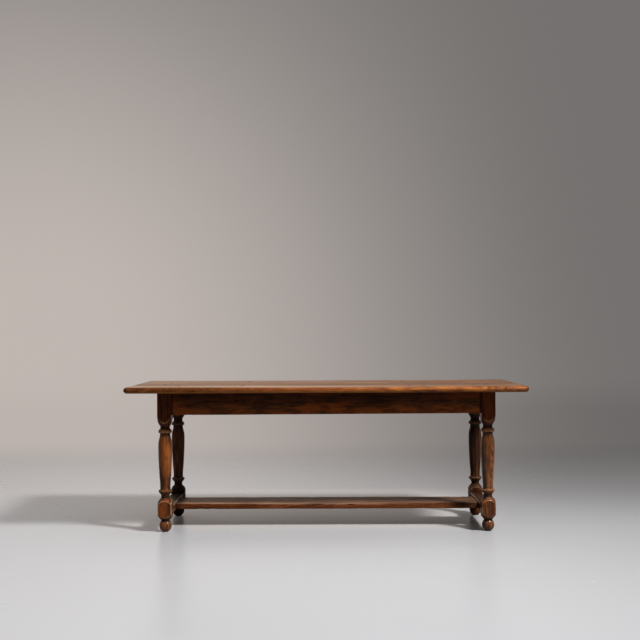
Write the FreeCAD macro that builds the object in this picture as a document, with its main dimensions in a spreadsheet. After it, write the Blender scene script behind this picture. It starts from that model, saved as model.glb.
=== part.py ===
import FreeCAD, Part
import math
import os

# Joined oak dining table: a boarded top with a half-round nose, four turned legs,
# four aprons, and two end stretchers tied by one broad flat centre stretcher.
# Millimetres. The floor is z = 0 and the origin lies under the middle of the top.
# +X runs along the top, the front of the table faces -Y.

SIZES = {
    # Whole table and its top
    "table_height": 764.0,
    "top_length": 2074.0,
    "top_width": 800.0,
    "top_thickness": 31.5,
    "top_corner_radius": 32.0,
    "front_board_width": 188.0,
    "back_board_width": 228.0,
    "seam_ease": 0.9,
    "tongue_width": 26.0,
    "tongue_thickness": 8.0,
    "tongue_stop": 70.0,
    # How far the middle of a leg stands in from the ends and sides of the top
    "leg_inset_long": 191.0,
    "leg_inset_wide": 172.0,
    # Square stock of a leg and the turnings in it, from the floor upwards
    "leg_stock": 73.0,
    "stock_arris": 1.0,
    "foot_pad_radius": 13.0,
    "ball_radius": 32.6,
    "ball_height": 56.0,
    "ankle_radius": 22.5,
    "ankle_height": 4.0,
    "lower_flare_height": 32.0,
    "block_above_stretcher": 15.0,
    "lower_neck_radius": 22.2,
    "lower_neck_height": 6.0,
    "ring_radius": 36.3,
    "ring_nose_height": 9.0,
    "ring_fillet_step": 1.5,
    "lower_ring_height": 42.0,
    "baluster_foot_radius": 26.8,
    "baluster_belly_radius": 36.4,
    "baluster_head_radius": 27.2,
    "upper_ring_height": 33.0,
    "upper_neck_radius": 25.0,
    "upper_neck_height": 9.0,
    "upper_flare_height": 56.0,
    "block_below_apron": 6.0,
    # Aprons
    "apron_height": 116.5,
    "apron_thickness": 26.0,
    "apron_setback": 8.0,
    "apron_edge_round": 2.0,
    "apron_tenon_thickness": 10.0,
    "apron_tenon_length": 38.0,
    "apron_tenon_cheek": 8.0,
    "apron_tenon_shoulder": 12.0,
    # End stretchers
    "end_stretcher_width": 68.0,
    "end_stretcher_height": 40.0,
    "end_stretcher_edge_round": 3.0,
    "end_tenon_thickness": 24.0,
    "end_tenon_length": 42.0,
    "end_tenon_shoulder": 5.0,
    # Centre stretcher
    "centre_stretcher_width": 212.0,
    "centre_stretcher_thickness": 31.0,
    "centre_stretcher_lift": 2.0,
    "centre_stretcher_edge_round": 5.0,
    "centre_tenon_thickness": 14.0,
    "centre_tenon_width": 150.0,
    "centre_tenon_length": 44.0,
    # Pegs
    "peg_radius": 4.5,
    "peg_length": 44.0,
    "peg_proud": 0.8,
    "apron_peg_spacing": 48.0,
    "apron_peg_stagger": 12.0,
    "centre_peg_spacing": 92.0,
    "centre_peg_length": 30.0,
    "top_peg_radius": 5.0,
    "top_peg_bite": 32.0,
    "top_peg_recess": 0.3,
    # Room left in the joints
    "joint_clearance": 0.1,
    "joint_end_room": 1.0,
    "peg_clearance": 0.05,
    # How far a cut runs past the face that it starts from
    "overrun": 4.0,
}

# Where the ball foot is widest, as a share of its height.
BALL_BELLY_SHARE = 0.56
# How high in each flare the turning leaves the flat faces of the stock.
LOWER_FLARE_SHARE = 0.50
UPPER_FLARE_SHARE = 0.35
# How high in a ring its widest line lies, seen from the neck, and where the
# ring has come in to the baluster.
RING_TIP_SHARE = 0.65
RING_END_SHARE = 0.9
# The baluster's outline between its foot and belly, and between belly and head:
# share of the whole height, then share of the swelling.
BALUSTER_RISE_SHARES = ((0.04, 0.0), (0.18, 0.28), (0.355, 0.60), (0.54, 0.89), (0.70, 0.99))
BALUSTER_BELLY_SHARE = 0.775
BALUSTER_FALL_SHARES = ((0.857, 0.85), (0.895, 0.63), (0.93, 0.33), (0.97, 0.03))
# Where the seam between the two inner boards lies, as a share of their joint width.
INNER_SEAM_SHARE = 0.536
# Places of the pegs along the long aprons, as shares of half the clear length.
TOP_PEG_SHARES = (-0.95, -0.54, 0.54, 0.95)

doc = FreeCAD.newDocument("refectory_table")
sheet = doc.addObject("Spreadsheet::Sheet", "Sizes")
for row, (alias, value) in enumerate(SIZES.items(), start=1):
    sheet.set(f"A{row}", alias.replace("_", " "))
    sheet.set(f"B{row}", str(value))
    sheet.setAlias(f"B{row}", alias)
doc.recompute()


def size(alias):
    """Return one size of the sheet as a number."""
    return float(sheet.get(alias))


def cell(alias):
    """Return the expression that reads one size of the sheet."""
    return f"Sizes.{alias}"


# Levels and places that several pieces share, as expressions on the sheet.
HALF_STOCK = f"{cell('leg_stock')} / 2"
LEG_CENTRES_LONG = f"({cell('top_length')} - 2 * {cell('leg_inset_long')})"
LEG_CENTRES_WIDE = f"({cell('top_width')} - 2 * {cell('leg_inset_wide')})"
LEG_X = f"{LEG_CENTRES_LONG} / 2"
LEG_Y = f"{LEG_CENTRES_WIDE} / 2"
TOP_UNDERSIDE = f"({cell('table_height')} - {cell('top_thickness')})"
APRON_BOTTOM = f"({TOP_UNDERSIDE} - {cell('apron_height')})"
BLOCK_BASE = f"({cell('ball_height')} + {cell('ankle_height')} + {cell('lower_flare_height')})"
NOSE = f"{cell('top_thickness')} / 2"
SEAM_FRONT = f"(-{cell('top_width')} / 2 + {cell('front_board_width')})"
SEAM_BACK = f"({cell('top_width')} / 2 - {cell('back_board_width')})"
SEAM_MIDDLE = f"({SEAM_FRONT} + ({SEAM_BACK} - {SEAM_FRONT}) * {INNER_SEAM_SHARE})"
LONG_CLEAR = f"({LEG_CENTRES_LONG} - {cell('leg_stock')})"
WIDE_CLEAR = f"({LEG_CENTRES_WIDE} - {cell('leg_stock')})"
CENTRE_CLEAR = f"({LEG_CENTRES_LONG} - {cell('end_stretcher_width')})"
APRON_PEG_MIDDLE = f"{cell('apron_height')} / 2"
CENTRE_TENON_BOTTOM = (
    f"({cell('centre_stretcher_lift')}"
    f" + ({cell('centre_stretcher_thickness')} - {cell('centre_tenon_thickness')}) / 2)"
)


def span(low, high, side=1):
    """Return a pair of bounds, mirrored through zero when side is negative."""
    if side > 0:
        return (low, high)
    return (f"-({high})", f"-({low})")


def widened(bounds, room):
    """Return a pair of bounds moved apart by room at both ends."""
    low, high = bounds
    return (f"({low}) - {room}", f"({high}) + {room}")


def box(name, x, y, z):
    """Add a box between three pairs of bounds."""
    solid = doc.addObject("Part::Box", name)
    for edge, axis, (low, high) in (("Length", "x", x), ("Width", "y", y), ("Height", "z", z)):
        solid.setExpression(edge, f"({high}) - ({low})")
        solid.setExpression(f"Placement.Base.{axis}", low)
    return solid


def rod(name, radius, axis, bounds, centre):
    """Add a round rod along an axis, between two bounds, about a centre line.

    centre gives the two other coordinates, in the order x, y, z.
    """
    turns = {
        "x": FreeCAD.Rotation(FreeCAD.Vector(0, 1, 0), 90),
        "y": FreeCAD.Rotation(FreeCAD.Vector(1, 0, 0), -90),
        "z": FreeCAD.Rotation(),
    }
    low, high = bounds
    solid = doc.addObject("Part::Cylinder", name)
    solid.Placement = FreeCAD.Placement(FreeCAD.Vector(), turns[axis])
    solid.setExpression("Radius", radius)
    solid.setExpression("Height", f"({high}) - ({low})")
    across = [other for other in "xyz" if other != axis]
    solid.setExpression(f"Placement.Base.{axis}", low)
    for other, place in zip(across, centre):
        solid.setExpression(f"Placement.Base.{other}", place)
    return solid


def fused(name, solids):
    """Join several solids into one piece of wood."""
    whole = doc.addObject("Part::MultiFuse", name)
    whole.Shapes = solids
    whole.Refine = True
    return whole


def cut_away(name, base, tools):
    """Cut several tools out of a base."""
    tool = tools[0]
    if len(tools) > 1:
        tool = doc.addObject("Part::Compound", f"{name}_cuts")
        tool.Links = tools
    whole = doc.addObject("Part::Cut", name)
    whole.Base = base
    whole.Tool = tool
    whole.Refine = True
    return whole


def eased(name, base, radius_alias, keep):
    """Round the long edges of a bar that the keep test chooses."""
    doc.recompute()
    radius = size(radius_alias)
    rounded = doc.addObject("Part::Fillet", name)
    rounded.Base = base
    chosen = []
    for number, edge in enumerate(base.Shape.Edges, start=1):
        if keep(edge):
            chosen.append((number, radius, radius))
    rounded.Edges = chosen
    return rounded


def runs_along_x(edge):
    """Tell whether an edge is straight and lies along X."""
    first, last = edge.Vertexes[0].Point, edge.Vertexes[-1].Point
    return abs(abs(last.x - first.x) - edge.Length) < edge.Length / 1000


def place(piece, x="0", y="0", z="0", turn=0):
    """Put a finished piece in the table, turned about the vertical."""
    upright = FreeCAD.Vector(0, 0, 1)
    piece.Placement = FreeCAD.Placement(FreeCAD.Vector(), FreeCAD.Rotation(upright, turn))
    piece.setExpression("Placement.Base.x", x)
    piece.setExpression("Placement.Base.y", y)
    piece.setExpression("Placement.Base.z", z)
    return piece


def point(radius, height):
    """Return a point of the turned outline."""
    return FreeCAD.Vector(radius, 0, height)


def ring_edges(neck_radius, neck_level, waist_radius, height):
    """Return the edges of one turned ring, from its neck to the baluster.

    height is negative where the neck lies above the ring.
    """
    up = math.copysign(1, height)
    tip_level = neck_level + height * RING_TIP_SHARE
    half_nose = up * size("ring_nose_height") / 2
    shoulder = size("ring_radius") - size("ring_fillet_step")
    taper_start = point(neck_radius, neck_level)
    nose_start = point(shoulder, tip_level - half_nose)
    nose_tip = point(size("ring_radius"), tip_level)
    nose_end = point(shoulder, tip_level + half_nose)
    waist = point(waist_radius, neck_level + height * RING_END_SHARE)
    waist_end = point(waist_radius, neck_level + height)
    middle = (taper_start + nose_start) / 2
    bulge = size("ring_fillet_step") * 2 / 3
    taper_middle = middle + point(bulge, -up * bulge)
    return [
        Part.Arc(taper_start, taper_middle, nose_start).toShape(),
        Part.Arc(nose_start, nose_tip, nose_end).toShape(),
        Part.LineSegment(nose_end, waist).toShape(),
        Part.LineSegment(waist, waist_end).toShape(),
    ]


def baluster_edge(foot_level, head_level):
    """Return the long swelling curve between the two rings."""
    foot = size("baluster_foot_radius")
    belly = size("baluster_belly_radius")
    head = size("baluster_head_radius")
    height = head_level - foot_level
    points = [point(foot, foot_level)]
    for height_share, swell_share in BALUSTER_RISE_SHARES:
        radius = foot + (belly - foot) * swell_share
        points.append(point(radius, foot_level + height * height_share))
    points.append(point(belly, foot_level + height * BALUSTER_BELLY_SHARE))
    for height_share, swell_share in BALUSTER_FALL_SHARES:
        radius = head + (belly - head) * swell_share
        points.append(point(radius, foot_level + height * height_share))
    points.append(point(head, head_level))
    curve = Part.BSplineCurve()
    curve.interpolate(points)
    return curve.toShape()


def flare_edge(neck_radius, neck_level, height, share):
    """Return the curve from a round neck out to the corners of the stock."""
    face = size("leg_stock") / 2
    corner = face * math.sqrt(2) - size("stock_arris")
    start = point(neck_radius, neck_level)
    passing = point(face, neck_level + height * share)
    end = point(corner, neck_level + height)
    return Part.Arc(start, passing, end).toShape()


def leg_outline():
    """Return the face that is turned about the leg's axis."""
    leg_top = size("table_height") - size("top_thickness")
    corner = size("leg_stock") / math.sqrt(2) - size("stock_arris")
    lower_flare = size("lower_flare_height")
    upper_flare = size("upper_flare_height")
    ankle = size("ball_height")
    ankle_top = ankle + size("ankle_height")
    block_base = ankle_top + lower_flare
    block_top = block_base + size("end_stretcher_height") + size("block_above_stretcher")
    neck = block_top + lower_flare
    lower_ring = neck + size("lower_neck_height")
    foot_level = lower_ring + size("lower_ring_height")
    upper_block = leg_top - size("apron_height") - size("block_below_apron")
    upper_neck_top = upper_block - upper_flare
    upper_neck = upper_neck_top - size("upper_neck_height")
    head_level = upper_neck - size("upper_ring_height")

    centre_bottom = point(0, 0)
    centre_top = point(0, leg_top)
    pad = point(size("foot_pad_radius"), 0)
    ball_side = point(size("ball_radius"), size("ball_height") * BALL_BELLY_SHARE)
    ball_end = point(size("ankle_radius"), ankle)
    ankle_end = point(size("ankle_radius"), ankle_top)
    lower_neck_start = point(size("lower_neck_radius"), neck)
    lower_neck_end = point(size("lower_neck_radius"), lower_ring)
    upper_neck_start = point(size("upper_neck_radius"), upper_neck)
    upper_neck_end = point(size("upper_neck_radius"), upper_neck_top)

    edges = [
        Part.LineSegment(centre_bottom, pad).toShape(),
        Part.Arc(pad, ball_side, ball_end).toShape(),
        Part.LineSegment(ball_end, ankle_end).toShape(),
        flare_edge(size("ankle_radius"), ankle_top, lower_flare, LOWER_FLARE_SHARE),
        Part.LineSegment(point(corner, block_base), point(corner, block_top)).toShape(),
        flare_edge(size("lower_neck_radius"), neck, -lower_flare, LOWER_FLARE_SHARE),
        Part.LineSegment(lower_neck_start, lower_neck_end).toShape(),
    ]
    edges += ring_edges(
        size("lower_neck_radius"),
        lower_ring,
        size("baluster_foot_radius"),
        size("lower_ring_height"),
    )
    edges.append(baluster_edge(foot_level, head_level))
    edges += ring_edges(
        size("upper_neck_radius"),
        upper_neck,
        size("baluster_head_radius"),
        -size("upper_ring_height"),
    )
    edges += [
        Part.LineSegment(upper_neck_start, upper_neck_end).toShape(),
        flare_edge(size("upper_neck_radius"), upper_neck_top, upper_flare, UPPER_FLARE_SHARE),
        Part.LineSegment(point(corner, upper_block), point(corner, leg_top)).toShape(),
        Part.LineSegment(point(corner, leg_top), centre_top).toShape(),
        Part.LineSegment(centre_top, centre_bottom).toShape(),
    ]
    wire = Part.Wire(Part.__sortEdges__(edges))
    return Part.Face(wire)


# The leg without its joints: square stock that a lathe has cut back to an outline.
outline = doc.addObject("Part::Feature", "leg_outline")
outline.Shape = leg_outline()
turning = doc.addObject("Part::Revolution", "leg_turning")
turning.Source = outline
turning.Axis = FreeCAD.Vector(0, 0, 1)
turning.Base = FreeCAD.Vector(0, 0, 0)
turning.Angle = 360
turning.Solid = True
stock = box(
    "leg_stock_square",
    (f"-{HALF_STOCK}", HALF_STOCK),
    (f"-{HALF_STOCK}", HALF_STOCK),
    ("0", TOP_UNDERSIDE),
)
blank_leg = doc.addObject("Part::Common", "blank_leg")
blank_leg.Base = stock
blank_leg.Tool = turning
blank_leg.Refine = True


# Bounds of the joints, seen in a leg whose inner faces look along +X and +Y.
MORTISE_REACH = f"({cell('apron_tenon_length')} + {cell('joint_end_room')})"
CHEEK_OUTER = f"({HALF_STOCK} - {cell('apron_setback')} - {cell('apron_tenon_cheek')})"
CHEEK_INNER = f"({CHEEK_OUTER} - {cell('apron_tenon_thickness')})"
PEG_HOLE = f"{cell('peg_radius')} + {cell('peg_clearance')}"
LONG_PEG_LEVELS = (
    f"{APRON_PEG_MIDDLE} - {cell('apron_peg_spacing')} / 2 + {cell('apron_peg_stagger')} / 2",
    f"{APRON_PEG_MIDDLE} + {cell('apron_peg_spacing')} / 2 + {cell('apron_peg_stagger')} / 2",
)
WIDE_PEG_LEVELS = (
    f"{APRON_PEG_MIDDLE} - {cell('apron_peg_spacing')} / 2 - {cell('apron_peg_stagger')} / 2",
    f"{APRON_PEG_MIDDLE} + {cell('apron_peg_spacing')} / 2 - {cell('apron_peg_stagger')} / 2",
)
TENON_BOTTOM = f"{cell('apron_tenon_shoulder')}"
TENON_TOP = f"({cell('apron_height')} - {cell('apron_tenon_shoulder')})"
END_TENON_LEVELS = (
    cell("end_tenon_shoulder"),
    f"{cell('end_stretcher_height')} - {cell('end_tenon_shoulder')}",
)
APRON_PEG_INSET = f"({HALF_STOCK} - {cell('apron_tenon_length')} / 2)"
END_PEG_INSET = f"({HALF_STOCK} - {cell('end_tenon_length')} / 2)"
PEG_END = f"(-{HALF_STOCK} + {cell('peg_length')})"


def raised(bounds, level):
    """Return a pair of bounds moved up to a level."""
    low, high = bounds
    return (f"{level} + {low}", f"{level} + {high}")


def make_leg(name, side, x, y, turn):
    """Make one leg with its mortises and peg holes.

    side is 1 for a leg whose inner faces look along +X and +Y before it is
    turned, and -1 for its mirror image.
    """
    room = cell("joint_clearance")
    cheeks = widened((f"-{CHEEK_OUTER}", f"-{CHEEK_INNER}"), room)
    heights = widened(raised((TENON_BOTTOM, TENON_TOP), APRON_BOTTOM), room)
    entry = (f"{HALF_STOCK} - {MORTISE_REACH}", f"{HALF_STOCK} + {cell('overrun')}")
    tools = [
        box(f"{name}_long_mortise", span(*entry, side), cheeks, heights),
        box(f"{name}_wide_mortise", span(*cheeks, side), entry, heights),
    ]
    end_reach = f"({cell('end_tenon_length')} + {cell('joint_end_room')})"
    end_thickness = cell("end_tenon_thickness")
    tools.append(
        box(
            f"{name}_stretcher_mortise",
            widened((f"-{end_thickness} / 2", f"{end_thickness} / 2"), room),
            (f"{HALF_STOCK} - {end_reach}", f"{HALF_STOCK} + {cell('overrun')}"),
            widened(raised(END_TENON_LEVELS, BLOCK_BASE), room),
        )
    )
    drilled = (f"-{HALF_STOCK} - {cell('overrun')}", f"{PEG_END} + {cell('joint_end_room')}")
    inset = APRON_PEG_INSET if side > 0 else f"-{APRON_PEG_INSET}"
    for number, level in enumerate(LONG_PEG_LEVELS, start=1):
        centre = (inset, f"{APRON_BOTTOM} + {level}")
        tools.append(rod(f"{name}_long_peg_hole_{number}", PEG_HOLE, "y", drilled, centre))
    for number, level in enumerate(WIDE_PEG_LEVELS, start=1):
        centre = (APRON_PEG_INSET, f"{APRON_BOTTOM} + {level}")
        bounds = span(*drilled, side)
        tools.append(rod(f"{name}_wide_peg_hole_{number}", PEG_HOLE, "x", bounds, centre))
    centre = (END_PEG_INSET, f"{BLOCK_BASE} + {cell('end_stretcher_height')} / 2")
    bounds = span(*drilled, side)
    tools.append(rod(f"{name}_stretcher_peg_hole", PEG_HOLE, "x", bounds, centre))
    return place(cut_away(name, blank_leg, tools), x, y, "0", turn)


legs = [
    make_leg("leg_front_left", 1, f"-{LEG_X}", f"-{LEG_Y}", 0),
    make_leg("leg_front_right", -1, LEG_X, f"-{LEG_Y}", 0),
    make_leg("leg_back_left", -1, f"-{LEG_X}", LEG_Y, 180),
    make_leg("leg_back_right", 1, LEG_X, LEG_Y, 180),
]


def make_apron(name, clear_length, peg_levels, top_peg_places, x, y, turn):
    """Make one apron, drawn as the front one and then turned to its side.

    Its outer face lies in the plane y = 0, its lower edge at z = 0, and its
    length is centred on x = 0.
    """
    half = f"{clear_length} / 2"
    bar = box(
        f"{name}_bar",
        (f"-{half}", half),
        ("0", cell("apron_thickness")),
        ("0", cell("apron_height")),
    )

    def lower_edge(edge):
        """Choose the two long edges at the bottom of the bar."""
        return runs_along_x(edge) and edge.BoundBox.ZMax < size("apron_height") / 2

    solids = [eased(f"{name}_eased", bar, "apron_edge_round", lower_edge)]
    cheeks = (
        cell("apron_tenon_cheek"),
        f"{cell('apron_tenon_cheek')} + {cell('apron_tenon_thickness')}",
    )
    reach = f"{half} + {cell('apron_tenon_length')}"
    solids.append(box(f"{name}_tenons", (f"-({reach})", reach), cheeks, (TENON_BOTTOM, TENON_TOP)))
    tools = []
    through = (f"-{cell('overrun')}", f"{cell('apron_thickness')} + {cell('overrun')}")
    inset = f"({half} + {cell('apron_tenon_length')} / 2)"
    for side in (-1, 1):
        for number, level in enumerate(peg_levels, start=1):
            label = f"{name}_peg_hole_{'left' if side < 0 else 'right'}_{number}"
            centre = (inset if side > 0 else f"-{inset}", level)
            tools.append(rod(label, PEG_HOLE, "y", through, centre))
    depth = (
        f"{cell('apron_height')} - {cell('top_peg_bite')} - {cell('joint_end_room')}",
        f"{cell('apron_height')} + {cell('overrun')}",
    )
    hole = f"{cell('top_peg_radius')} + {cell('peg_clearance')}"
    for number, along in enumerate(top_peg_places, start=1):
        centre = (along, f"{cell('apron_thickness')} / 2")
        tools.append(rod(f"{name}_top_peg_hole_{number}", hole, "z", depth, centre))
    whole = fused(f"{name}_whole", solids)
    return place(cut_away(name, whole, tools), x, y, APRON_BOTTOM, turn)


LONG_FACE = f"({LEG_Y} + {HALF_STOCK} - {cell('apron_setback')})"
WIDE_FACE = f"({LEG_X} + {HALF_STOCK} - {cell('apron_setback')})"
long_places = [f"{LONG_CLEAR} / 2 * ({share})" for share in TOP_PEG_SHARES]
# The end pegs stand in the middle of the two inner boards. The left apron is drawn
# with its length turned the other way.
wide_places = [f"({SEAM_FRONT} + {SEAM_MIDDLE}) / 2", f"({SEAM_MIDDLE} + {SEAM_BACK}) / 2"]
left_places = [f"-({along})" for along in wide_places]
aprons = [
    make_apron("apron_front", LONG_CLEAR, LONG_PEG_LEVELS, long_places, "0", f"-{LONG_FACE}", 0),
    make_apron("apron_back", LONG_CLEAR, LONG_PEG_LEVELS, long_places, "0", LONG_FACE, 180),
    make_apron("apron_left", WIDE_CLEAR, WIDE_PEG_LEVELS, left_places, f"-{WIDE_FACE}", "0", -90),
    make_apron("apron_right", WIDE_CLEAR, WIDE_PEG_LEVELS, wide_places, WIDE_FACE, "0", 90),
]


CENTRE_PEG_INSET = f"({cell('end_stretcher_width')} / 2 - {cell('centre_tenon_length')} / 2)"


def make_end_stretcher(name, x, turn):
    """Make one end stretcher, drawn along X with its inner face towards +Y."""
    half = f"{WIDE_CLEAR} / 2"
    half_width = f"{cell('end_stretcher_width')} / 2"
    height = cell("end_stretcher_height")
    room = cell("joint_clearance")
    bar = box(f"{name}_bar", (f"-{half}", half), (f"-{half_width}", half_width), ("0", height))
    solids = [eased(f"{name}_eased", bar, "end_stretcher_edge_round", runs_along_x)]
    reach = f"{half} + {cell('end_tenon_length')}"
    half_tenon = f"{cell('end_tenon_thickness')} / 2"
    solids.append(
        box(
            f"{name}_tenons",
            (f"-({reach})", reach),
            (f"-{half_tenon}", half_tenon),
            END_TENON_LEVELS,
        )
    )
    mortise_width = f"{cell('centre_tenon_width')} / 2"
    mortise_reach = f"({cell('centre_tenon_length')} + {cell('joint_end_room')})"
    tools = [
        box(
            f"{name}_mortise",
            widened((f"-{mortise_width}", mortise_width), room),
            (f"{half_width} - {mortise_reach}", f"{half_width} + {cell('overrun')}"),
            widened(
                (CENTRE_TENON_BOTTOM, f"{CENTRE_TENON_BOTTOM} + {cell('centre_tenon_thickness')}"),
                room,
            ),
        )
    ]
    inset = f"({half} + {cell('end_tenon_length')} / 2)"
    through = (f"-{half_width} - {cell('overrun')}", f"{half_width} + {cell('overrun')}")
    drop = (
        f"{height} - {cell('centre_peg_length')} - {cell('joint_end_room')}",
        f"{height} + {cell('overrun')}",
    )
    for side in (-1, 1):
        label = "left" if side < 0 else "right"
        centre = (inset if side > 0 else f"-{inset}", f"{height} / 2")
        tools.append(rod(f"{name}_peg_hole_{label}", PEG_HOLE, "y", through, centre))
        along = f"{cell('centre_peg_spacing')} / 2 * ({side})"
        centre = (along, CENTRE_PEG_INSET)
        tools.append(rod(f"{name}_centre_peg_hole_{label}", PEG_HOLE, "z", drop, centre))
    whole = fused(f"{name}_whole", solids)
    return place(cut_away(name, whole, tools), x, "0", BLOCK_BASE, turn)


end_stretchers = [
    make_end_stretcher("end_stretcher_left", f"-{LEG_X}", -90),
    make_end_stretcher("end_stretcher_right", LEG_X, 90),
]


def make_centre_stretcher(name):
    """Make the broad flat board that ties the two end stretchers."""
    half = f"{CENTRE_CLEAR} / 2"
    half_width = f"{cell('centre_stretcher_width')} / 2"
    thickness = cell("centre_stretcher_thickness")
    bar = box(f"{name}_bar", (f"-{half}", half), (f"-{half_width}", half_width), ("0", thickness))
    solids = [eased(f"{name}_eased", bar, "centre_stretcher_edge_round", runs_along_x)]
    reach = f"{half} + {cell('centre_tenon_length')}"
    half_tenon = f"{cell('centre_tenon_width')} / 2"
    bottom = f"({thickness} - {cell('centre_tenon_thickness')}) / 2"
    levels = (bottom, f"{bottom} + {cell('centre_tenon_thickness')}")
    solids.append(
        box(f"{name}_tenons", (f"-({reach})", reach), (f"-{half_tenon}", half_tenon), levels)
    )
    tools = []
    inset = f"({half} + {cell('centre_tenon_length')} / 2)"
    through = (f"-{cell('overrun')}", f"{thickness} + {cell('overrun')}")
    for side_x in (-1, 1):
        for side_y in (-1, 1):
            number = (side_x + 1) + (side_y + 1) // 2 + 1
            centre = (f"{inset} * ({side_x})", f"{cell('centre_peg_spacing')} / 2 * ({side_y})")
            tools.append(rod(f"{name}_peg_hole_{number}", PEG_HOLE, "z", through, centre))
    whole = fused(f"{name}_whole", solids)
    level = f"{BLOCK_BASE} + {cell('centre_stretcher_lift')}"
    return place(cut_away(name, whole, tools), "0", "0", level)


centre_stretcher = make_centre_stretcher("centre_stretcher")


# The top. Its boards are drawn in their own places, with z = 0 at the underside.
# The nose is half round, and at the corners it follows an arc seen from above.
TOP_END = f"({cell('top_length')} / 2 - {NOSE})"
TOP_SIDE = f"({cell('top_width')} / 2 - {NOSE})"
CORNER_X = f"({cell('top_length')} / 2 - {cell('top_corner_radius')})"
CORNER_Y = f"({cell('top_width')} / 2 - {cell('top_corner_radius')})"
GROOVE_DEPTH = f"({cell('tongue_width')} / 2 + {cell('joint_clearance')})"
TONGUE_END = f"({cell('top_length')} / 2 - {cell('tongue_stop')})"
TONGUE_BOTTOM = f"({cell('top_thickness')} - {cell('tongue_thickness')}) / 2"
TONGUE_LEVELS = (TONGUE_BOTTOM, f"{TONGUE_BOTTOM} + {cell('tongue_thickness')}")
TOP_PEG_CENTRES = []
for y_side in (-1, 1):
    rail_centre = f"({LONG_FACE} - {cell('apron_thickness')} / 2) * ({y_side})"
    for along in long_places:
        TOP_PEG_CENTRES.append((along, rail_centre))
for x_side in (-1, 1):
    rail_centre = f"({WIDE_FACE} - {cell('apron_thickness')} / 2) * ({x_side})"
    for along in wide_places:
        TOP_PEG_CENTRES.append((rail_centre, along))


def seam_cuts(name, seam):
    """Return the groove for a loose tongue and the eased arris at one seam."""
    room = cell("joint_clearance")
    groove = box(
        f"{name}_groove",
        widened((f"-{TONGUE_END}", TONGUE_END), cell("joint_end_room")),
        (f"{seam} - {GROOVE_DEPTH}", f"{seam} + {GROOVE_DEPTH}"),
        widened(TONGUE_LEVELS, room),
    )
    vee = doc.addObject("Part::Box", f"{name}_ease")
    vee.Placement = FreeCAD.Placement(
        FreeCAD.Vector(), FreeCAD.Rotation(FreeCAD.Vector(1, 0, 0), 45)
    )
    vee.setExpression("Length", f"{cell('top_length')} + 2 * {cell('overrun')}")
    vee.setExpression("Width", f"{cell('seam_ease')} * sqrt(2)")
    vee.setExpression("Height", f"{cell('seam_ease')} * sqrt(2)")
    vee.setExpression("Placement.Base.x", f"-{cell('top_length')} / 2 - {cell('overrun')}")
    vee.setExpression("Placement.Base.y", seam)
    vee.setExpression("Placement.Base.z", f"{cell('top_thickness')} - {cell('seam_ease')}")
    return [groove, vee]


def corner_shape():
    """Return a quarter turn of the top with its nose, about the corner's axis."""
    thickness = size("top_thickness")
    nose = thickness / 2
    flat = size("top_corner_radius") - nose
    edges = [
        Part.LineSegment(point(0, 0), point(flat, 0)).toShape(),
        Part.Arc(point(flat, 0), point(flat + nose, nose), point(flat, thickness)).toShape(),
        Part.LineSegment(point(flat, thickness), point(0, thickness)).toShape(),
        Part.LineSegment(point(0, thickness), point(0, 0)).toShape(),
    ]
    face = Part.Face(Part.Wire(edges))
    return face.revolve(FreeCAD.Vector(), FreeCAD.Vector(0, 0, 1), 90)


def board_corner(name, x_side, y_side):
    """Add one corner of the top in its place."""
    turns = {(1, 1): 0, (-1, 1): 90, (-1, -1): 180, (1, -1): 270}
    corner = doc.addObject("Part::Feature", name)
    corner.Shape = corner_shape()
    x = CORNER_X if x_side > 0 else f"-{CORNER_X}"
    y = CORNER_Y if y_side > 0 else f"-{CORNER_Y}"
    return place(corner, x, y, "0", turns[x_side, y_side])


def make_board(name, front, back, seams):
    """Make one board of the top, with the nose on its outer edges.

    front and back are the board's own bounds across the top. A bound of None
    is an outer edge of the top.
    """
    thickness = cell("top_thickness")
    y_low = f"-{CORNER_Y}" if front is None else front
    y_high = CORNER_Y if back is None else back
    solids = [box(f"{name}_core", (f"-{TOP_END}", TOP_END), (y_low, y_high), ("0", thickness))]
    for side in (-1, 1):
        label = "left" if side < 0 else "right"
        end = TOP_END if side > 0 else f"-{TOP_END}"
        solids.append(rod(f"{name}_nose_{label}", NOSE, "y", (y_low, y_high), (end, NOSE)))
    if front is None or back is None:
        y_side = -1 if front is None else 1
        strip = span(CORNER_Y, TOP_SIDE, y_side)
        edge = TOP_SIDE if y_side > 0 else f"-{TOP_SIDE}"
        run = (f"-{CORNER_X}", CORNER_X)
        solids.append(box(f"{name}_strip", run, strip, ("0", thickness)))
        solids.append(rod(f"{name}_nose_long", NOSE, "x", run, (edge, NOSE)))
        solids.append(board_corner(f"{name}_corner_left", -1, y_side))
        solids.append(board_corner(f"{name}_corner_right", 1, y_side))
    tools = []
    for label, seam in seams:
        tools += seam_cuts(f"{name}_{label}", seam)
    through = (f"-{cell('overrun')}", f"{thickness} + {cell('overrun')}")
    hole = f"{cell('top_peg_radius')} + {cell('peg_clearance')}"
    for number, centre in enumerate(TOP_PEG_CENTRES, start=1):
        tools.append(rod(f"{name}_peg_hole_{number}", hole, "z", through, centre))
    whole = fused(f"{name}_whole", solids)
    return place(cut_away(name, whole, tools), "0", "0", TOP_UNDERSIDE)


boards = [
    make_board("top_board_front", None, SEAM_FRONT, [("back_seam", SEAM_FRONT)]),
    make_board(
        "top_board_front_inner",
        SEAM_FRONT,
        SEAM_MIDDLE,
        [("front_seam", SEAM_FRONT), ("back_seam", SEAM_MIDDLE)],
    ),
    make_board(
        "top_board_back_inner",
        SEAM_MIDDLE,
        SEAM_BACK,
        [("front_seam", SEAM_MIDDLE), ("back_seam", SEAM_BACK)],
    ),
    make_board("top_board_back", SEAM_BACK, None, [("front_seam", SEAM_BACK)]),
]


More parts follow.
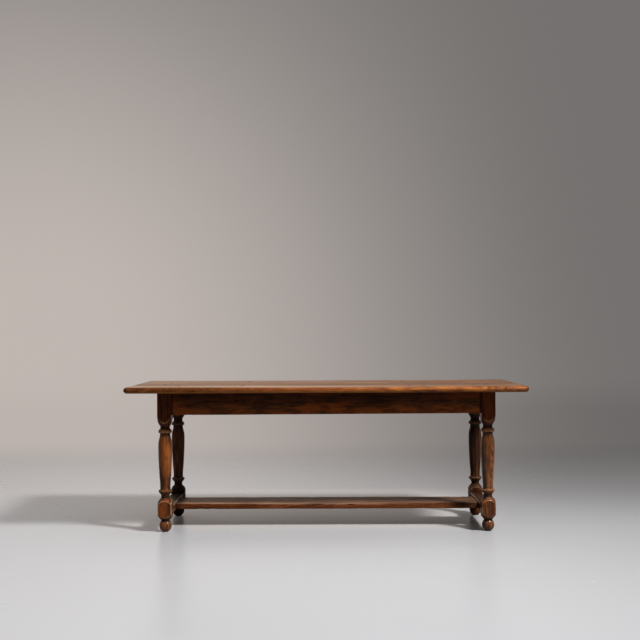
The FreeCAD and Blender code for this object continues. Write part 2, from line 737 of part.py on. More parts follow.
def make_tongue(name, seam):
    """Make the loose tongue that keeps two boards level at one seam."""
    half = f"{cell('tongue_width')} / 2"
    tongue = box(name, (f"-{TONGUE_END}", TONGUE_END), (f"-{half}", half), TONGUE_LEVELS)
    tongue.setExpression("Placement.Base.y", f"{seam} - {half}")
    tongue.setExpression("Placement.Base.z", f"{TOP_UNDERSIDE} + {TONGUE_BOTTOM}")
    return tongue


tongues = [
    make_tongue("tongue_front", SEAM_FRONT),
    make_tongue("tongue_middle", SEAM_MIDDLE),
    make_tongue("tongue_back", SEAM_BACK),
]


def peg_group(name, pegs):
    """Gather like pegs into one piece of several solids."""
    group = doc.addObject("Part::Compound", name)
    group.Links = pegs
    return group


def make_apron_pegs():
    """Make the pegs that lock the apron tenons, two in each joint."""
    pegs = []
    radius = cell("peg_radius")
    for x_side in (-1, 1):
        for y_side in (-1, 1):
            start = f"-({HALF_STOCK} + {cell('peg_proud')})"
            for level in LONG_PEG_LEVELS:
                low, high = span(f"{start} - ({LEG_Y})", f"{PEG_END} - ({LEG_Y})", -y_side)
                x = f"({LEG_X} - {APRON_PEG_INSET}) * ({x_side})"
                centre = (x, f"{APRON_BOTTOM} + {level}")
                label = f"long_apron_peg_{len(pegs) + 1}"
                pegs.append(rod(label, radius, "y", (low, high), centre))
            for level in WIDE_PEG_LEVELS:
                low, high = span(f"{start} - ({LEG_X})", f"{PEG_END} - ({LEG_X})", -x_side)
                y = f"({LEG_Y} - {APRON_PEG_INSET}) * ({y_side})"
                centre = (y, f"{APRON_BOTTOM} + {level}")
                label = f"wide_apron_peg_{len(pegs) + 1}"
                pegs.append(rod(label, radius, "x", (low, high), centre))
    return peg_group("apron_pegs", pegs)


def make_stretcher_pegs():
    """Make the pegs that lock the end stretchers to the legs, one in each joint."""
    pegs = []
    start = f"-({HALF_STOCK} + {cell('peg_proud')})"
    level = f"{BLOCK_BASE} + {cell('end_stretcher_height')} / 2"
    for x_side in (-1, 1):
        for y_side in (-1, 1):
            bounds = span(f"{start} - ({LEG_X})", f"{PEG_END} - ({LEG_X})", -x_side)
            centre = (f"({LEG_Y} - {END_PEG_INSET}) * ({y_side})", level)
            label = f"stretcher_peg_{len(pegs) + 1}"
            pegs.append(rod(label, cell("peg_radius"), "x", bounds, centre))
    return peg_group("stretcher_pegs", pegs)


def make_centre_stretcher_pegs():
    """Make the upright pegs that lock the centre stretcher, two at each end."""
    pegs = []
    top = f"{BLOCK_BASE} + {cell('end_stretcher_height')}"
    bounds = (f"{top} - {cell('centre_peg_length')}", f"{top} + {cell('peg_proud')}")
    for x_side in (-1, 1):
        for y_side in (-1, 1):
            x = f"({LEG_X} - {CENTRE_PEG_INSET}) * ({x_side})"
            centre = (x, f"{cell('centre_peg_spacing')} / 2 * ({y_side})")
            label = f"centre_stretcher_peg_{len(pegs) + 1}"
            pegs.append(rod(label, cell("peg_radius"), "z", bounds, centre))
    return peg_group("centre_stretcher_pegs", pegs)


def make_top_pegs():
    """Make the pegs that hold the top down on the aprons."""
    pegs = []
    bounds = (
        f"{TOP_UNDERSIDE} - {cell('top_peg_bite')}",
        f"{cell('table_height')} - {cell('top_peg_recess')}",
    )
    for centre in TOP_PEG_CENTRES:
        label = f"top_peg_{len(pegs) + 1}"
        pegs.append(rod(label, cell("top_peg_radius"), "z", bounds, centre))
    return peg_group("top_pegs", pegs)


peg_groups = [
    make_apron_pegs(),
    make_stretcher_pegs(),
    make_centre_stretcher_pegs(),
    make_top_pegs(),
]

pieces = boards + tongues + legs + aprons + end_stretchers + [centre_stretcher] + peg_groups
doc.recompute()

for item in doc.Objects:
    if "Invalid" in item.State or "Error" in item.State:
        raise RuntimeError(f"{item.Label} did not build: {item.State}")
for piece in pieces:
    if piece.Shape.isNull() or not piece.Shape.isValid() or not piece.Shape.Solids:
        raise RuntimeError(f"{piece.Label} has no sound solid")

os.makedirs("parts", exist_ok=True)
for piece in pieces:
    piece.Shape.exportStep(os.path.join("parts", f"{piece.Label}.step"))
    bounds = piece.Shape.BoundBox
    print(
        f"{piece.Label}: {len(piece.Shape.Solids)} solids, {piece.Shape.Volume / 1000:.1f} cm3, "
        f"x {bounds.XMin:.1f} {bounds.XMax:.1f}, y {bounds.YMin:.1f} {bounds.YMax:.1f}, "
        f"z {bounds.ZMin:.1f} {bounds.ZMax:.1f}"
    )
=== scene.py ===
import logging
import math
from collections.abc import Mapping, Sequence
from dataclasses import dataclass, replace
from enum import Enum

import bmesh
import bpy
import numpy as np
from mathutils import Matrix, Vector


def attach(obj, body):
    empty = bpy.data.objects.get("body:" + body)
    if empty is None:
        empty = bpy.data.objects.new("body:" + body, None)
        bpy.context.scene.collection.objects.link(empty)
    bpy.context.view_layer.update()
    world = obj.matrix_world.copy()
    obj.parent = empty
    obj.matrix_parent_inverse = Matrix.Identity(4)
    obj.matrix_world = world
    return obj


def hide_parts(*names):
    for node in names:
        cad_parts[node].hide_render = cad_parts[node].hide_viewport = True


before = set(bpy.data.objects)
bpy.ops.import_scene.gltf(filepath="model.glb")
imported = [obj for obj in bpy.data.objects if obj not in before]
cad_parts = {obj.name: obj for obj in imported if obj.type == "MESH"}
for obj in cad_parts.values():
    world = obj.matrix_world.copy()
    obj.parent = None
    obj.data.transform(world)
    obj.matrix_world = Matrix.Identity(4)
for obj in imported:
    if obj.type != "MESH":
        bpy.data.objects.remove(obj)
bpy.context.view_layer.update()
LOG = logging.getLogger("refectory_table")

BODY = "root"
# These masks mark worn and dark places, and on some pieces painted light and painted shade as well.
WEAR_AND_LIGHT = "wear_and_light"
GRIME_AND_SHADE = "grime_and_shade"
SQUARED = "squared"
PATINA_AND_SHADE = "patina_and_shade"
FACING = "facing"

Colour = tuple[float, float, float]
Triple = tuple[float, float, float]
Face = tuple[int, ...]

BLACK: Colour = (0.0, 0.0, 0.0)


@dataclass(frozen=True)
class TableSizes:
    """The table's own sizes in metres, the same as the CAD model's."""

    height: float = 0.764
    length: float = 2.074
    width: float = 0.800
    top_thickness: float = 0.0315
    corner_radius: float = 0.032
    front_board: float = 0.188
    back_board: float = 0.228
    inner_seam_share: float = 0.536
    leg_inset_long: float = 0.191
    leg_inset_wide: float = 0.172
    stock: float = 0.073
    apron_height: float = 0.1165
    apron_thickness: float = 0.026
    apron_setback: float = 0.008
    block_base: float = 0.092
    end_width: float = 0.068
    end_height: float = 0.040
    centre_width: float = 0.212
    centre_thickness: float = 0.031
    centre_lift: float = 0.002

    @property
    def underside(self) -> float:
        """The level of the top's lower face."""
        return self.height - self.top_thickness

    @property
    def nose(self) -> float:
        """The radius of the half-round edge of the top."""
        return self.top_thickness / 2

    @property
    def leg_x(self) -> float:
        """How far a leg's middle stands from the table's middle along X."""
        return self.length / 2 - self.leg_inset_long

    @property
    def leg_y(self) -> float:
        """How far a leg's middle stands from the table's middle along Y."""
        return self.width / 2 - self.leg_inset_wide

    @property
    def seams(self) -> tuple[float, float, float]:
        """The three seams between the boards, from front to back."""
        front = -self.width / 2 + self.front_board
        back = self.width / 2 - self.back_board
        return front, front + (back - front) * self.inner_seam_share, back


SIZES = TableSizes()


class Term:
    """One socket of a node tree, on which Python's arithmetic works."""

    def __init__(self, sheet: "Sheet", socket: bpy.types.NodeSocket) -> None:
        """Keep the tree and the socket."""
        self.sheet = sheet
        self.socket = socket

    def _math(self, operation: str, *values: "Value") -> "Term":
        """Add a Math node on these values."""
        return self.sheet.add("ShaderNodeMath", values, operation=operation)

    def apply(self, operation: str, *others: "Value") -> "Term":
        """Return a Math node's result for this value and others."""
        return self._math(operation, self, *others)

    def __add__(self, other: "Value") -> "Term":
        """Return self + other."""
        return self._math("ADD", self, other)

    __radd__ = __add__

    def __sub__(self, other: "Value") -> "Term":
        """Return self - other."""
        return self._math("SUBTRACT", self, other)

    def __rsub__(self, other: "Value") -> "Term":
        """Return other - self."""
        return self._math("SUBTRACT", other, self)

    def __mul__(self, other: "Value") -> "Term":
        """Return self * other."""
        return self._math("MULTIPLY", self, other)

    __rmul__ = __mul__

    def __truediv__(self, other: "Value") -> "Term":
        """Return self / other."""
        return self._math("DIVIDE", self, other)

    def __rtruediv__(self, other: "Value") -> "Term":
        """Return other / self."""
        return self._math("DIVIDE", other, self)

    def __neg__(self) -> "Term":
        """Return -self."""
        return self._math("MULTIPLY", self, -1.0)

    def __abs__(self) -> "Term":
        """Return the value without its sign."""
        return self._math("ABSOLUTE", self)

    def fraction(self) -> "Term":
        """Return what is left above the whole number."""
        return self._math("FRACT", self)

    def most(self, other: "Value") -> "Term":
        """Return the larger of two values."""
        return self._math("MAXIMUM", self, other)

    def step(self, low: float, high: float) -> "Term":
        """Return a smooth step from 0 at low to 1 at high.

        Args:
            low: Where the step starts.
            high: Where it ends; below low the step falls.

        Returns:
            A value from 0 to 1.
        """
        rising = high > low
        bounds = (low, high, 0.0, 1.0) if rising else (high, low, 1.0, 0.0)
        return self.sheet.add(
            "ShaderNodeMapRange", (self, *bounds), interpolation_type="SMOOTHSTEP"
        )


Value = Term | float | int | Sequence[float] | bpy.types.ID | str | bool | None


class Sheet:
    """A node tree that is written as Python expressions."""

    def __init__(self, tree: bpy.types.NodeTree) -> None:
        """Keep the tree that nodes are added to."""
        self.tree = tree

    def add(
        self,
        kind: str,
        inputs: Sequence[Value] | Mapping[str | int, Value] = (),
        out: int | str = 0,
        **settings: object,
    ) -> Term:
        """Add a node, set it, and feed its sockets.

        Args:
            kind: The node's type.
            inputs: What each socket gets, in order or by name or number.
            out: Name or number of the output to return.
            **settings: The node's own settings; stops fills a colour ramp.

        Returns:
            The chosen output.
        """
        node = self.tree.nodes.new(kind)
        for name, value in settings.items():
            if name == "stops":
                self._fill_ramp(node.color_ramp, value)
            else:
                setattr(node, name, value)
        pairs = inputs.items() if isinstance(inputs, Mapping) else enumerate(inputs)
        for key, value in pairs:
            if value is not None:
                self._feed(node.inputs[key], value)
        return Term(self, node.outputs[out]) if node.outputs else Term(self, None)

    def _feed(self, socket: bpy.types.NodeSocket, value: Value) -> None:
        """Link a term to a socket, or set the socket to a plain value."""
        if isinstance(value, Term):
            self.tree.links.new(value.socket, socket)
        elif socket.type == "RGBA":
            socket.default_value = (*value[:3], 1.0)
        else:
            socket.default_value = value

    @staticmethod
    def _fill_ramp(ramp: bpy.types.ColorRamp, stops: Sequence[tuple[float, Colour]]) -> None:
        """Give a colour ramp its stops."""
        while len(ramp.elements) < len(stops):
            ramp.elements.new(1.0)
        for element, (position, colour) in zip(ramp.elements, stops):
            element.position = position
            element.color = (*colour, 1.0)

    def other(self, term: Term, out: int | str) -> Term:
        """Return another output of the node that a term comes from."""
        return Term(self, term.socket.node.outputs[out])

    def split(self, vector: Term) -> tuple[Term, Term, Term]:
        """Return the three numbers of a vector."""
        first = self.add("ShaderNodeSeparateXYZ", (vector,))
        return first, self.other(first, 1), self.other(first, 2)

    def join(self, x: Value, y: Value, z: Value) -> Term:
        """Return the vector of three numbers."""
        return self.add("ShaderNodeCombineXYZ", (x, y, z))

    def vector(self, operation: str, *values: Value, out: int = 0) -> Term:
        """Add a Vector Math node on these values."""
        return self.add("ShaderNodeVectorMath", values, out=out, operation=operation)

    def named(self, label: str, kind: str = "FLOAT") -> Term:
        """Return the value that a mesh keeps under a name."""
        return self.add("GeometryNodeInputNamedAttribute", {"Name": label}, data_type=kind)

    def noise(
        self,
        place: Term,
        stretch: Triple,
        seed: float,
        detail: float = 2.0,
        roughness: float = 0.5,
        out: int = 0,
    ) -> Term:
        """Return noise round 0.5 that is stretched along the axes.

        Args:
            place: The position that it is read at.
            stretch: Cells per metre along each axis.
            seed: A number that moves the pattern elsewhere.
            detail: How many finer layers lie over the first.
            roughness: How strong the finer layers are.
            out: 0 for one value, 1 for three in a colour.

        Returns:
            The noise.
        """
        moved = self.vector("MULTIPLY_ADD", place, stretch, (seed, seed * 1.7, seed * 0.6))
        feed = {"Vector": moved, "Scale": 1.0, "Detail": detail, "Roughness": roughness}
        return self.add("ShaderNodeTexNoise", feed, out=out)

    def blend(self, share: Value, first: Value, second: Value, mode: str = "MIX") -> Term:
        """Mix two colours.

        Args:
            share: How much of the second shows, from 0 to 1.
            first: The colour below.
            second: The colour above.
            mode: The mixing rule.

        Returns:
            The mixed colour.
        """
        feed = {0: share, 6: first, 7: second}
        return self.add("ShaderNodeMix", feed, out=2, data_type="RGBA", blend_type=mode)


def shader_sheet(owner: bpy.types.Material | bpy.types.World) -> Sheet:
    """Return the emptied node tree of a material or a world."""
    owner.use_nodes = True
    owner.node_tree.nodes.clear()
    return Sheet(owner.node_tree)


def shape_sheet(
    name: str, inputs: Mapping[str, str], output: str
) -> tuple[Sheet, dict[str, Term]]:
    """Start a geometry node tree with named inputs.

    Args:
        name: The tree's name.
        inputs: The kind of each input, by name.
        output: The name of the geometry that the tree gives.

    Returns:
        The tree and its inputs by name.
    """
    tree = bpy.data.node_groups.new(name, "GeometryNodeTree")
    for label, kind in inputs.items():
        tree.interface.new_socket(label, in_out="INPUT", socket_type=f"NodeSocket{kind}")
    tree.interface.new_socket(output, in_out="OUTPUT", socket_type="NodeSocketGeometry")
    sheet = Sheet(tree)
    given = sheet.add("NodeGroupInput")
    return sheet, {label: sheet.other(given, label) for label in inputs}


class Grain(Enum):
    """The axis that a piece's grain runs along, with the two across it."""

    LENGTHWISE = (0, 1, 2)
    CROSSWISE = (1, 0, 2)
    UPRIGHT = (2, 0, 1)


@dataclass(frozen=True)
class Knot:
    """A knot in a board: its place along and across the grain and its size."""

    along: float
    across: float
    radius: float


@dataclass(frozen=True)
class Oak:
    """Old waxed oak, cut from a log whose rings lie round its heart."""

    name: str
    grain: Grain
    centre: Triple = (0.0, 0.0, 0.0)
    heart: tuple[float, float] = (0.03, -0.11)
    lean: float = 0.02
    seed: float = 1.0
    ring_width: float = 0.0042
    curl: float = 0.004
    deep: Colour = (0.075, 0.026, 0.009)
    middle: Colour = (0.17, 0.068, 0.024)
    pale: Colour = (0.30, 0.135, 0.052)
    stain: Colour = (0.020, 0.009, 0.005)
    stain_share: float = 0.35
    stain_edge: tuple[float, float] = (0.42, 0.70)
    glow: Colour = (0.24, 0.072, 0.017)
    glow_share: float = 0.35
    glow_edge: tuple[float, float] = (0.45, 0.68)
    # The worn colour shows where wood is worn light; on the top's nose and the legs' rings it is
    # also painted light.
    worn: Colour = (0.36, 0.17, 0.072)
    # The next two colours darken wood that is dirty or mellow, and also serve as painted shade.
    grimy_and_shaded: Colour = (0.012, 0.007, 0.005)
    patina_and_shade: Colour = (0.62, 0.38, 0.20)
    roughness: float = 0.42
    gloss: float = 0.12
    polish: float = 0.25
    sheen: float = 0.32
    scratched: float = 0.0
    bump: float = 0.35
    contrast: float = 1.0
    blotch: float = 1.0
    flame: float = 0.3
    fade: float = 0.0
    knots: tuple[Knot, ...] = ()
    smudges: tuple[Knot, ...] = ()
    rims: tuple[Knot, ...] = ()

    def stained(self, share: float) -> "Oak":
        """Return the same oak with all its wood colours darkened to a share."""
        names = ("deep", "middle", "pale", "glow")
        tones = {name: tuple(part * share for part in getattr(self, name)) for name in names}
        return replace(self, **tones)

    def _fibre_space(self, sheet: Sheet) -> Term:
        """Return the place as along, across and depth from the piece's centre."""
        coordinates = sheet.add("ShaderNodeTexCoord", out="Object")
        parts = sheet.split(sheet.vector("SUBTRACT", coordinates, self.centre))
        return sheet.join(*(parts[axis] for axis in self.grain.value))

    def _disc(self, sheet: Sheet, place: Term, spot: Knot, stretch: float) -> Term:
        """Return the distance from a knot's middle in radii.

        Args:
            sheet: The tree.
            place: The place in fibre space.
            spot: The knot.
            stretch: How much longer it is along the grain than across.

        Returns:
            0 at the middle and 1 at the rim.
        """
        away = sheet.vector("SUBTRACT", place, (spot.along, spot.across, 0.0))
        flat = (1 / (spot.radius * stretch), 1 / spot.radius, 0.0)
        return sheet.vector("LENGTH", sheet.vector("MULTIPLY", away, flat), out=1)

    def _reach(self, sheet: Sheet, place: Term) -> tuple[Term, Term, Term | None]:
        """Return where each place lies in the log.

        Args:
            sheet: The tree.
            place: The place in fibre space.

        Returns:
            The distance from the heart, a slow sway for the rings, and the
            cores of the knots where there are any.
        """
        along, across, depth = sheet.split(place)
        sway = sheet.noise(place, (1.1, 4.0, 4.0), self.seed, out=1)
        sway_across, sway_depth, sway_ring = sheet.split(sway)
        curl = sheet.noise(place, (11.0, 26.0, 26.0), self.seed + 3.1, detail=1.0, out=1)
        curl_across, curl_depth, _ = sheet.split(curl)
        off_across = across - self.heart[0] + along * self.lean
        off_across = off_across + (sway_across - 0.5) * 0.05 + (curl_across - 0.5) * self.curl
        off_depth = depth - self.heart[1] - along * self.lean * 0.6
        off_depth = off_depth + (sway_depth - 0.5) * 0.05 + (curl_depth - 0.5) * self.curl
        reach = sheet.vector("LENGTH", sheet.join(0.0, off_across, off_depth), out=1)
        cores: Term | None = None
        for knot in self.knots:
            away = self._disc(sheet, place, knot, 1.5)
            reach = reach + away.step(3.2, 0.2) * (knot.radius * 1.8)
            core = away.step(1.15, 0.45)
            cores = core if cores is None else cores.most(core)
        return reach, sway_ring, cores

    def _fibres(
        self, sheet: Sheet, place: Term, reach: Term, sway: Term
    ) -> tuple[Term, Term, Term, Term]:
        """Return the figure of the wood.

        Args:
            sheet: The tree.
            place: The place in fibre space.
            reach: The distance from the heart.
            sway: The slow sway of the rings.

        Returns:
            The tone, the late wood of the rings, the streaks and the fibres.
        """
        along, _, depth = sheet.split(place)
        phase = (reach / self.ring_width + sway * 2.0).fraction()
        late = phase.step(0.08, 0.7) * phase.step(1.0, 0.9)
        figure = sheet.join(reach * 75.0, along * 0.9, depth * 0.5 + self.seed)
        bands = sheet.noise(figure, (1.0, 1.0, 1.0), 0.0, detail=3.0)
        streaks = sheet.noise(place, (3.2, 70.0, 70.0), self.seed + 7.7, detail=3.0)
        fibres = sheet.noise(place, (14.0, 520.0, 520.0), self.seed + 1.9, detail=2.0)
        flames = sheet.noise(place, (10.0, 135.0, 135.0), self.seed + 4.4, detail=2.0)
        tone = bands * 0.62 + streaks * 0.34 + late * 0.12 + fibres * 0.18 - 0.14
        tone = tone + (flames - 0.5) * self.flame - along * self.fade
        return tone, late, streaks, fibres

    def _colour(
        self, sheet: Sheet, place: Term, tone: Term, late: Term
    ) -> tuple[Term, Term, Term, Term]:
        """Colour the wood, with its reddish parts, its stain, pores and flecks.

        Args:
            sheet: The tree.
            place: The place in fibre space.
            tone: The tone of the figure.
            late: The late wood of the rings.

        Returns:
            The colour, the pores, the stain and the clouds that the stain follows.
        """
        spread = 0.17 / self.contrast
        stops = ((0.5 - spread, self.deep), (0.5, self.middle), (0.5 + spread, self.pale))
        wood = sheet.add("ShaderNodeValToRGB", (tone,), stops=stops)
        blush = sheet.noise(place, (2.6, 15.0, 15.0), self.seed + 12.4, detail=2.0)
        wood = sheet.blend(blush.step(*self.glow_edge) * self.glow_share, wood, self.glow)
        wide = (2.2 * self.blotch, 7.0 * self.blotch, 7.0 * self.blotch)
        cloud = sheet.noise(place, wide, self.seed + 21.3, detail=4.0, roughness=0.6)
        soot = cloud.step(*self.stain_edge) * self.stain_share
        wood = sheet.blend(soot, wood, self.stain)
        pores = sheet.noise(place, (46.0, 1250.0, 1250.0), self.seed + 5.5, detail=1.0)
        pores = pores.step(0.57, 0.70) * (1.0 - late * 0.75)
        wood = sheet.blend(pores * 0.6, wood, self.stain)
        flecks = sheet.noise(place, (70.0, 210.0, 210.0), self.seed + 9.3, detail=1.0)
        wood = sheet.blend(flecks.step(0.64, 0.74) * 0.22, wood, self.pale)
        return wood, pores, soot, cloud

    def _dirt_and_shade(self, sheet: Sheet, place: Term, grime_and_shade: Term, rub: Term) -> Term:
        """Return how dark hollows, peg rims and smudges are, with painted shade among them."""
        dirt_and_shade = (grime_and_shade * (1.6 - rub)).step(0.1, 1.0)
        for rim in self.rims:
            dirt_and_shade = dirt_and_shade.most(self._disc(sheet, place, rim, 1.0).step(2.1, 1.05))
        for smudge in self.smudges:
            away = self._disc(sheet, place, smudge, 0.5)
            dirt_and_shade = dirt_and_shade.most((away + (rub - 0.5) * 1.6).step(1.3, 0.1) * (0.95 - rub))
        return dirt_and_shade

    def material(self) -> bpy.types.Material:
        """Build the material.

        Returns:
            The finished material.
        """
        made = bpy.data.materials.new(self.name)
        sheet = shader_sheet(made)
        place = self._fibre_space(sheet)
        reach, sway, cores = self._reach(sheet, place)
        tone, late, streaks, fibres = self._fibres(sheet, place, reach, sway)
        wood, pores, soot, cloud = self._colour(sheet, place, tone, late)
        if cores is not None:
            wood = sheet.blend(cores * 0.85, wood, self.stain)

        wear_and_light, grime_and_shade, patina_and_shade = (
            sheet.add("ShaderNodeAttribute", out="Fac", attribute_name=name)
            for name in (WEAR_AND_LIGHT, GRIME_AND_SHADE, PATINA_AND_SHADE)
        )
        # Patina mellows the wood, and painted shade darkens it where a piece lies in shade.
        wood = sheet.blend(patina_and_shade, wood, self.patina_and_shade, mode="MULTIPLY")
        # Worn places turn light, and on some pieces this paints light.
        rub = sheet.noise(place, (16.0, 60.0, 60.0), self.seed + 15.8, detail=3.0)
        rubbed_and_lit = (wear_and_light * (rub * 1.5)).step(0.22, 0.95)
        wood = sheet.blend(rubbed_and_lit * 0.8, wood, self.worn)
        # Hollows, rims and smudges turn dark, and so do places painted as shade.
        dirt_and_shade = self._dirt_and_shade(sheet, place, grime_and_shade, rub)
        wood = sheet.blend(dirt_and_shade * 0.85, wood, self.grimy_and_shaded)

        rough = self.roughness - late * 0.05 + pores * 0.12 + soot * 0.06
        rough = rough - rubbed_and_lit * 0.05 + dirt_and_shade * 0.22 + (cloud - 0.5) * 0.12
        height = fibres * 0.25 + late * 0.15 - pores * 0.9 + streaks * 0.3
        if self.scratched:
            lines = self._scratches(sheet, place)
            wood = sheet.blend(lines * 0.35 * self.scratched, wood, self.worn)
            height = height - lines * self.scratched
        relief = {"Strength": self.bump, "Distance": 0.0006, "Height": height}
        feed = {
            "Base Color": wood,
            "Roughness": rough,
            "Normal": sheet.add("ShaderNodeBump", relief),
            "Specular IOR Level": self.gloss,
            "Coat Weight": (1.0 - patina_and_shade * 0.9) * (1.0 - dirt_and_shade * 0.8) * self.polish,
            "Coat Roughness": self.sheen,
        }
        surface = sheet.add("ShaderNodeBsdfPrincipled", feed)
        sheet.add("ShaderNodeOutputMaterial", {"Surface": surface})
        return made

    def _scratches(self, sheet: Sheet, place: Term) -> Term:
        """Return thin lines of use that run across each other at small angles."""
        along, across, depth = sheet.split(place)
        lines = []
        for slope, offset in ((0.35, 2.0), (-0.6, 8.0)):
            turned = sheet.join(along + across * slope, across - along * slope, depth)
            field = sheet.noise(turned, (5.0, 420.0, 20.0), self.seed + offset, detail=0.0)
            lines.append(field.step(0.74, 0.80))
        return lines[0].most(lines[1])


RAIL_OAK = Oak(
    name="rail_oak",
    grain=Grain.LENGTHWISE,
    deep=(0.070, 0.0200, 0.0060),
    middle=(0.230, 0.0700, 0.0190),
    pale=(0.380, 0.1280, 0.0390),
    stain=(0.016, 0.0068, 0.0036),
    stain_share=0.58,
    stain_edge=(0.46, 0.60),
    glow=(0.620, 0.1350, 0.0180),
    glow_share=0.62,
    glow_edge=(0.47, 0.60),
    worn=(0.30, 0.105, 0.036),
    # This darkening colour serves only the aprons' painted shade.
    patina_and_shade=(0.42, 0.35, 0.32),
    flame=0.5,
    roughness=0.46,
    polish=0.05,
    contrast=1.0,
    blotch=3.8,
)
TOP_OAK = Oak(
    name="top_oak",
    grain=Grain.LENGTHWISE,
    deep=(0.105, 0.038, 0.012),
    middle=(0.225, 0.092, 0.032),
    pale=(0.37, 0.175, 0.072),
    stain=(0.040, 0.017, 0.008),
    stain_share=0.3,
    glow=(0.33, 0.110, 0.026),
    glow_share=0.4,
    worn=(0.50, 0.205, 0.060),
    patina_and_shade=(0.60, 0.34, 0.15),
    roughness=0.42,
    gloss=0.12,
    polish=0.35,
    fade=0.05,
    contrast=1.2,
    scratched=0.5,
    bump=0.22,
)
LEG_OAK = Oak(
    name="leg_oak",
    grain=Grain.UPRIGHT,
    heart=(0.06, -0.045),
    lean=0.03,
    ring_width=0.0036,
    curl=0.003,
    deep=(0.080, 0.0240, 0.0070),
    middle=(0.220, 0.0700, 0.0190),
    pale=(0.400, 0.1500, 0.0470),
    stain_share=0.62,
    stain_edge=(0.45, 0.64),
    glow=(0.520, 0.140, 0.018),
    glow_share=0.7,
    glow_edge=(0.47, 0.62),
    # The pale worn colour also stands as painted highlight on the worn ring tips.
    worn=(0.74, 0.370, 0.150),
    patina_and_shade=(0.62, 0.40, 0.25),
    flame=0.5,
    roughness=0.36,
    polish=0.55,
    sheen=0.17,
    contrast=1.15,
    blotch=5.5,
)
STRETCHER_OAK = Oak(
    name="stretcher_oak",
    grain=Grain.LENGTHWISE,
    deep=(0.090, 0.0350, 0.0150),
    middle=(0.235, 0.0930, 0.0400),
    pale=(0.360, 0.1750, 0.0860),
    stain=(0.030, 0.014, 0.008),
    stain_share=0.45,
    glow=(0.34, 0.100, 0.026),
    glow_share=0.35,
    worn=(0.36, 0.205, 0.125),
    flame=0.45,
    roughness=0.48,
    gloss=0.07,
    polish=0.04,
    scratched=0.4,
)
PEG_OAK = Oak(
    name="peg_oak",
    grain=Grain.UPRIGHT,
    ring_width=0.0016,
    deep=(0.016, 0.007, 0.004),
    middle=(0.042, 0.017, 0.008),
    pale=(0.085, 0.035, 0.016),
    stain_share=0.5,
    glow_share=0.2,
    worn=(0.11, 0.05, 0.022),
    roughness=0.55,
)
TONGUE_OAK = replace(
    RAIL_OAK, name="tongue_oak", seed=61.0, pale=(0.20, 0.10, 0.05), stain_share=0.2
)


def lattice_noise(points: np.ndarray, stretch: Triple, seed: int) -> np.ndarray:
    """Return smooth noise from 0 to 1.

    Args:
        points: Positions in metres, one in each row.
        stretch: Cells per metre along each axis.
        seed: A whole number that picks the pattern.

    Returns:
        One value for each position.
    """
    scaled = points * np.asarray(stretch) + seed * 0.377
    cell = np.floor(scaled).astype(np.int64)
    part = scaled - cell
    part = part * part * (3 - 2 * part)
    total = np.zeros(len(points))
    for corner in np.ndindex(2, 2, 2):
        key = cell + corner
        mixed = key[:, 0] * 73856093 ^ key[:, 1] * 19349663 ^ key[:, 2] * 83492791
        mixed = (mixed + seed * 2654435761) & 0xFFFFFFFF
        mixed = ((mixed ^ (mixed >> 15)) * 2246822519) & 0xFFFFFFFF
        mixed = mixed ^ (mixed >> 13)
        weight = np.prod(np.where(corner, part, 1 - part), axis=1)
        total += weight * (mixed & 0xFFFF) / 0xFFFF
    return total


def smooth_step(values: np.ndarray, low: float, high: float) -> np.ndarray:
    """Return a smooth step from 0 at low to 1 at high."""
    share = np.clip((values - low) / (high - low), 0.0, 1.0)
    return share * share * (3 - 2 * share)


def swell(values: np.ndarray, middle: float, width: float) -> np.ndarray:
    """Return a smooth swelling that is 1 at its middle and fades over a width."""
    return np.exp(-(((values - middle) / width) ** 2))


def add_object(name: str, data: bpy.types.ID) -> bpy.types.Object:
    """Make an object of a mesh, a lamp or a camera and put it in the scene."""
    made = bpy.data.objects.new(name, data)
    bpy.context.scene.collection.objects.link(made)
    return made


def store(mesh: bpy.types.Mesh, attributes: Mapping[str, np.ndarray]) -> None:
    """Keep a value for each point of a mesh under each attribute's name."""
    for name, values in attributes.items():
        layer = mesh.attributes.new(name, "FLOAT", "POINT")
        layer.data.foreach_set("value", values.astype(np.float32))


def turn_outward(mesh: bpy.types.Mesh, melt: float = 0.0) -> None:
    """Turn all faces outward, and melt edges that are shorter than a length."""
    shell = bmesh.new()
    shell.from_mesh(mesh)
    if melt:
        bmesh.ops.dissolve_degenerate(shell, dist=melt, edges=shell.edges)
    bmesh.ops.recalc_face_normals(shell, faces=shell.faces)
    shell.to_mesh(mesh)
    shell.free()


def mesh_object(
    name: str,
    points: np.ndarray,
    faces: Sequence[Face],
    material: bpy.types.Material,
    attributes: Mapping[str, np.ndarray],
) -> bpy.types.Object:
    """Make a mesh object at the origin with outward faces.

    Args:
        name: The piece's name.
        points: Positions in metres, one in each row.
        faces: The corners of each face.
        material: The finish.
        attributes: Values for each point, by attribute name.

    Returns:
        The new object.
    """
    mesh = bpy.data.meshes.new(name)
    mesh.from_pydata(points.tolist(), [], [tuple(face) for face in faces])
    store(mesh, attributes)
    turn_outward(mesh)
    mesh.shade_smooth()
    mesh.materials.append(material)
    return add_object(name, mesh)


def settle(piece: bpy.types.Object, node: str) -> None:
    """Ride a piece on the table's body in place of a CAD node.

    Args:
        piece: The finished piece.
        node: The CAD node that it stands for.
    """
    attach(piece, BODY)
    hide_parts(node)
    LOG.info("%s stands for %s with %d faces", piece.name, node, len(piece.data.polygons))


